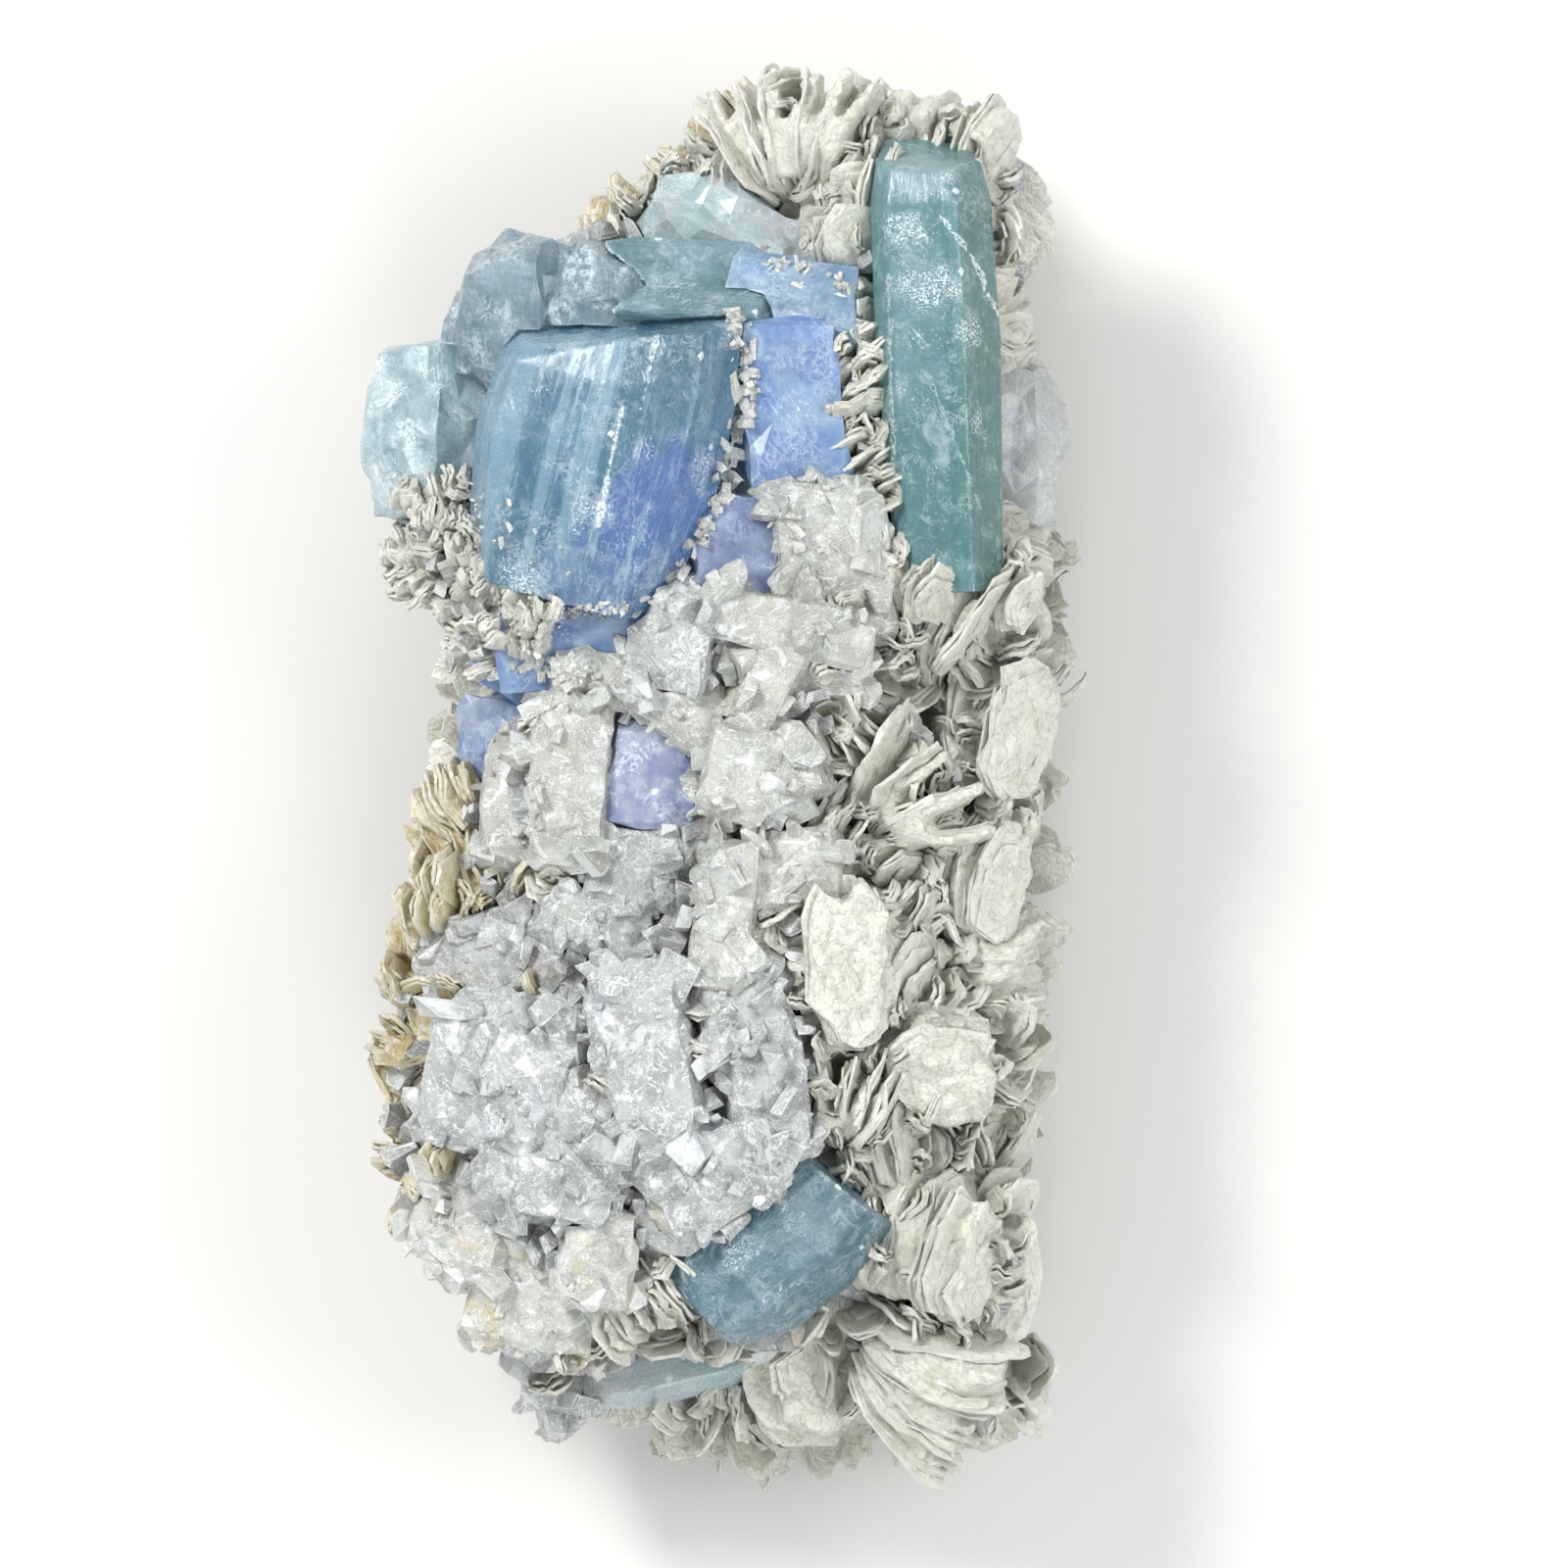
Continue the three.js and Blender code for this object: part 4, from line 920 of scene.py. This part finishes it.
# Columns of little books that the photo shows between larger pieces, in the same terms
columns = {
    "besideTall": {"from": (11, 12.5, 29), "to": (11.8, 45, 29.4), "count": 11, "reach": (3.6, 2.8),
                   "grow": (-0.25, 0.45, 0.85), "face": (0.5, -0.7, 0.5)},
    "rightEdge": {"from": (22, 8, 16), "to": (23.2, -12, 16), "count": 7, "reach": (5, 3.8),
                  "grow": (0.1, 0.9, 0.35), "face": (0.85, -0.1, 0.5)},
    "rightMiddle": {"from": (15, -8, 26), "to": (15.6, -38, 24.6), "count": 12, "reach": (4, 3),
                    "grow": (-0.1, 0.7, 0.7), "face": (0.8, -0.2, 0.5)},
    "rightUpper": {"from": (22.6, 30, 20), "to": (22.4, 8, 22), "count": 8, "reach": (4, 3.2),
                   "grow": (0.1, 0.8, 0.5), "face": (0.85, 0.1, 0.45)},
    "rightLow": {"from": (22, -22, 19), "to": (22.6, -40, 17), "count": 7, "reach": (4.6, 3.6),
                 "grow": (0.1, 0.9, 0.4), "face": (0.85, 0, 0.55)},
    "tallFoot": {"from": (13.2, 12.6, 33), "to": (23.8, 11.4, 30), "count": 7, "reach": (3.2, 1.7),
                 "grow": (-0.1, 0.9, 0.4), "face": (0.6, -0.3, 0.8)},
    "topGap": {"from": (8.6, 42.6, 27.4), "to": (13.4, 47.4, 29), "count": 6, "reach": (2.6, 2),
               "grow": (0, 0.7, 0.7), "face": (0.6, -0.5, 0.5)},
    "topLeft": {"kind": "golden_mica", "from": (-8, 43.2, 21), "to": (4, 53, 23.6), "count": 10,
                "reach": (2.3, 2), "grow": (-0.5, 0.8, 0.3), "face": (0.8, 0.5, 0.3)},
    "goldenUpper": {"kind": "golden_mica", "from": (-20.4, -3, 24.6), "to": (-24, -16, 23), "count": 9,
                    "reach": (3, 2.4), "grow": (-0.5, 0.7, 0.4), "face": (0.7, 0.5, 0.3)},
    "goldenLower": {"kind": "golden_mica", "from": (-25.2, -18, 20), "to": (-25, -37, 18), "count": 8,
                    "reach": (2.4, 2), "grow": (-0.7, 0.1, 0.7), "face": (0.5, 0.8, 0.1)},
    "underMain": {"tones": (0.5, 1), "from": (-22.6, 21.4, 28), "to": (-14, 12.4, 33.4), "count": 44,
                  "spread": 1.6, "reach": (1.5, 1.1), "grow": (-0.3, 0.3, 0.9), "face": (0.7, -0.3, 0.2)},
    "underLeft": {"tones": (0.5, 1), "from": (-25, 18, 25), "to": (-17, 10.6, 28), "count": 26,
                  "spread": 1.2, "reach": (1.8, 1.2), "grow": (-0.5, 0.2, 0.8), "face": (0.6, -0.5, 0.3)},
    "centre": {"from": (7.4, 0.4, 29), "to": (9.6, -20, 28.6), "count": 9, "reach": (3.6, 2.6),
               "grow": (0.1, 0.6, 0.8), "face": (0.8, -0.4, 0.2)},
}
columnLayers = {"at": (-0.7, 0.1, 0.9), "ahead": 0.5, "apart": 1.1, "fan": 9, "lean": 0.35}
for seed, (columnName, column) in enumerate(columns.items()):
    rng = random.Random(100 + seed)
    leaves = []
    for number in range(column["count"]):
        share = (number + rng.uniform(0.1, 0.9)) / column["count"]
        aside = column.get("spread", 0) * anyWay(rng)
        spot = Vector(column["from"]).lerp(Vector(column["to"]), share) + aside
        lean = columnLayers["lean"] * anyWay(rng)
        turn = alignment(Vector(column["grow"]) + lean, Vector(column["face"]) + lean).to_4x4()
        size = rng.uniform(0.75, 1.1)
        for layer in columnLayers["at"]:
            shift = Matrix.Translation((0, layer * columnLayers["ahead"] * mm,
                                        layer * columnLayers["apart"] * mm))
            nod = Matrix.Rotation(math.radians(layer * columnLayers["fan"]), 4, "X")
            leaves += modelPacket(rng, Matrix.Translation(spot * mm) @ turn @ shift @ nod,
                                  column["reach"][0] * size, column["reach"][1] * size, 1,
                                  column.get("tones", anyTone))
    piece = joinPieces(leaves, f"column_{columnName}")
    buckle(piece)
    kind = column.get("kind", "mica")
    finish(piece, kind, micaMaterials[kind])
print("mica books stacked")


# Small growth that hides the bare rock: little books of mica, and splinters of albite between them. Lengths
# are in millimetres; around is in pitches, and enclosed and rim are shares of the places around a hollow
growth = {
    "seed": 11, "shotsFromSides": 1500, "lowest": 3, "highest": 26, "across": (-8, 10), "along": 0.92,
    "far": 120, "bare": ("rock", "matrix_rock"), "bookSizes": (1.6, 3.4), "goldenBooks": 0.5,
    "pitch": 0.9, "around": 5, "enclosed": 0.75, "rim": 0.6, "least": 1.8, "apart": 1.5,
    "besideCrystals": 0.42, "elsewhere": 0.5, "longest": 4.2,
}
above = 90 * mm  # where a straight look down starts


def firstHit(start, direction):
    graph = bpy.context.evaluated_depsgraph_get()
    hit, spot, normal, _, found, _ = bpy.context.scene.ray_cast(graph, start, direction)
    return (spot, normal, found.name) if hit else None


def shotsAtFlanks(rng):
    lo, hi = cadBounds
    for _ in range(growth["shotsFromSides"]):
        angle = rng.uniform(0, 2 * math.pi)
        out = Vector((math.cos(angle), math.sin(angle), rng.uniform(0, 0.35)))
        aim = Vector((rng.uniform(*growth["across"]) * mm, rng.uniform(lo.y, hi.y) * growth["along"],
                      rng.uniform(growth["lowest"], growth["highest"]) * mm))
        hit = firstHit(aim + out * growth["far"] * mm, -out)
        if hit and hit[2] in growth["bare"] and hit[0].z > growth["lowest"] * mm:
            yield hit


def isGem(name):
    return "aquamarine" in name.lower() or "fluorite" in name.lower()


def hollows():
    # places well below what stands around them, the deepest first, with how deep they are
    lo, hi = cadBounds
    pitch = growth["pitch"] * mm
    columns, rows = round((hi.x - lo.x) / pitch), round((hi.y - lo.y) / pitch)
    tops = {}
    for column in range(columns):
        for row in range(rows):
            hit = firstHit(Vector((lo.x + column * pitch, lo.y + row * pitch, above)), -up)
            if hit:
                tops[column, row] = hit
    reach = range(-growth["around"], growth["around"] + 1)
    steps = [(i, j) for i in reach for j in reach if i * i + j * j <= growth["around"] ** 2]
    deep = []
    for (column, row), (spot, normal, name) in tops.items():
        near = [tops[column + i, row + j] for i, j in steps if (column + i, row + j) in tops]
        heights = sorted(place.z for place, _, _ in near)
        if len(near) > growth["enclosed"] * len(steps) and not isGem(name):
            depth = heights[round(len(heights) * growth["rim"])] - spot.z
            if depth > growth["least"] * mm:
                deep.append((depth, spot, any(isGem(other) for _, _, other in near)))
    chosen = []
    for depth, spot, crowded in sorted(deep, key=lambda place: -place[0]):
        if all((spot - other).length > growth["apart"] * mm for _, other, _ in chosen):
            chosen.append((depth, spot, crowded))
    return chosen


albiteZone = {"right": 8, "low": -50, "high": 18}
goldenZone = {"right": -15, "low": -34, "high": -4}


def mineralAt(spot, rng):
    # albite holds the left and the middle of the rock, mica the right, the top and the bottom
    x, y = spot.x / mm, spot.y / mm
    albiteShare = 0.7 if x < albiteZone["right"] and albiteZone["low"] < y < albiteZone["high"] else 0.1
    if x < goldenZone["right"] and goldenZone["low"] < y < goldenZone["high"]:
        return "golden_mica" if rng.random() < growth["goldenBooks"] else "albite"
    return "albite" if rng.random() < albiteShare else "mica"


growths = {"mica": [], "golden_mica": [], "albite": []}


def growAt(spot, normal, length, rng):
    mineral = mineralAt(spot, rng)
    side = anyWay(rng).normalized()
    if mineral == "albite":
        turn = alignment(normal + 0.7 * side, side).to_4x4()
        base = Matrix.Translation(spot + normal * 0.3 * length * mm)
        whole = base @ turn @ Matrix.Scale(length * mm, 4)
        growths[mineral].append(placeCopy(rng.choice(grainPatterns), whole))
    else:
        base = Matrix.Translation(spot - normal * 0.5 * mm) @ alignment(normal + 0.5 * side, side).to_4x4()
        growths[mineral] += modelPacket(rng, base, length, max(1.3, length * 0.7), rng.uniform(0.7, 1.2))


bpy.context.view_layer.update()
for hidden in leafPatterns + grainPatterns + bladePatterns:
    hidden.hide_set(True)
rng = random.Random(growth["seed"])
flanks = list(shotsAtFlanks(rng))
deepPlaces = hollows()

# Rubble of albite that lies on the crystals, in strips. least is the lowest height at which it lies
rubble = [
    {"from": (-21.4, 24.2), "to": (-11.4, 13.4), "half": 2.4, "count": 24, "sizes": (0.2, 0.7), "least": 0},
    {"from": (1, 37.4), "to": (2, 31.6), "half": 0.9, "count": 34, "sizes": (0.2, 1.0), "least": 34},
    {"from": (2, 31.6), "to": (-0.2, 22), "half": 1, "count": 60, "sizes": (0.2, 1.2), "least": 34.6},
    {"from": (-0.2, 22), "to": (-3.4, 15.6), "half": 0.9, "count": 34, "sizes": (0.2, 1.0), "least": 34.6},
    {"from": (-14, 12.6), "to": (-3, 14), "half": 0.8, "count": 60, "sizes": (0.2, 0.6), "least": 0},
    {"from": (-17, 9), "to": (-9, 7.6), "half": 1.2, "count": 40, "sizes": (0.3, 0.9), "least": 0},
    {"from": (3, 41.6), "to": (12, 39), "half": 1.2, "count": 30, "sizes": (0.3, 0.8), "least": 0},
]
rubblePlaces = []
for strip in rubble:
    start, end = Vector((*strip["from"], 0)), Vector((*strip["to"], 0))
    beside = (end - start).cross(up).normalized()
    for _ in range(strip["count"]):
        target = start.lerp(end, rng.random()) + beside * rng.gauss(0, 0.5) * strip["half"]
        hit = firstHit(Vector((target.x * mm, target.y * mm, above)), -up)
        if hit:
            spot = Vector((hit[0].x, hit[0].y, max(hit[0].z, strip["least"] * mm)))
            rubblePlaces.append((spot, rng.uniform(*strip["sizes"])))
print("grown on", len(flanks), "places of the flanks and in", len(deepPlaces), "hollows")
for spot, normal, _ in flanks:
    growAt(spot, normal, rng.uniform(*growth["bookSizes"]), rng)
for depth, spot, crowded in deepPlaces:
    length = depth / mm * growth["besideCrystals" if crowded else "elsewhere"] + 0.4
    growAt(spot, up, min(growth["longest"], length), rng)
shards = []
for spot, size in rubblePlaces:
    side = anyWay(rng)
    turn = alignment(side, up + side).to_4x4()
    whole = Matrix.Translation(spot) @ turn @ Matrix.Scale(size * mm, 4)
    shards.append(placeCopy(rng.choice(grainPatterns), whole))
finish(joinPieces(shards, "shards"), "albite", albiteMaterials["block"])
print("loose leaves and splinters:", {mineral: len(parts) for mineral, parts in growths.items()})

# The loose mica is kept in three pieces, since it is too much for one
thirds = {"rockMicaLower": [], "rockMicaMiddle": [], "rockMicaUpper": []}
third = 20  # half the length of the middle one, in millimetres
for leaf in growths["mica"]:
    along = leaf.data.vertices[0].co.y / mm
    thirds["rockMica" + ("Lower" if along < -third else "Middle" if along < third else "Upper")].append(leaf)
growthPieces = {
    **{pieceName: ("mica", parts) for pieceName, parts in thirds.items()},
    "rockGoldenMica": ("golden_mica", growths["golden_mica"]),
    "rockAlbite": ("albite", growths["albite"]),
}
for pieceName, (mineral, parts) in growthPieces.items():
    piece = joinPieces(parts, pieceName)
    if mineral != "albite":
        buckle(piece, 1.6)
    finish(piece, mineral, albiteMaterials["lump"] if mineral == "albite" else micaMaterials[mineral])

for pattern in leafPatterns + grainPatterns + bladePatterns:
    bpy.data.objects.remove(pattern)

# Floor, light and camera
floorLook = {"size": 4, "colour": "d9d7d3"}
bpy.ops.mesh.primitive_plane_add(size=floorLook["size"], location=(0, 0, 0))
floor = bpy.context.object
floor.name = "floor"
floorBoard = Board("floor")
floor.data.materials.append(floorBoard.wear(Base_Color=paint(floorLook["colour"]), Roughness=0.8))

lamps = {
    "key": {"at": (-260, 260, 420), "size": 150, "power": 2.3},
    "fill": {"at": (330, 60, 420), "size": 300, "power": 0.95},
    "front": {"at": (40, -380, 360), "size": 200, "power": 0.75},
}
lampAim = Vector((0, 0, 25))
for lampName, lamp in lamps.items():
    bpy.ops.object.light_add(type="AREA", location=[v * mm for v in lamp["at"]])
    light = bpy.context.object
    light.name = lampName
    light.data.shape = "DISK"
    light.data.size = lamp["size"] * mm
    light.data.energy = lamp["power"]
    light.rotation_euler = (lampAim * mm - light.location).to_track_quat("-Z", "Y").to_euler()
skyLook = {"Color": (0.9, 0.95, 1, 1), "Strength": 0.72}
world = bpy.data.worlds.new("studio")
bpy.context.scene.world = world
world.use_nodes = True
for name, value in skyLook.items():
    world.node_tree.nodes["Background"].inputs[name].default_value = value

shot = {"aim": (5.04, -0.96, 27), "width": 128, "lens": 180, "sensor": 36}
bpy.ops.object.camera_add()
camera = bpy.context.object
camera.data.lens = shot["lens"]
camera.data.sensor_width = shot["sensor"]
away = shot["width"] * shot["lens"] / shot["sensor"]
camera.location = (Vector(shot["aim"]) + up * away) * mm
camera.rotation_euler = (0, 0, 0)
camera.data.clip_start = 0.05
camera.data.clip_end = 10
bpy.context.scene.camera = camera
bpy.context.scene.view_settings.view_transform = "Standard"
print("camera and light set")
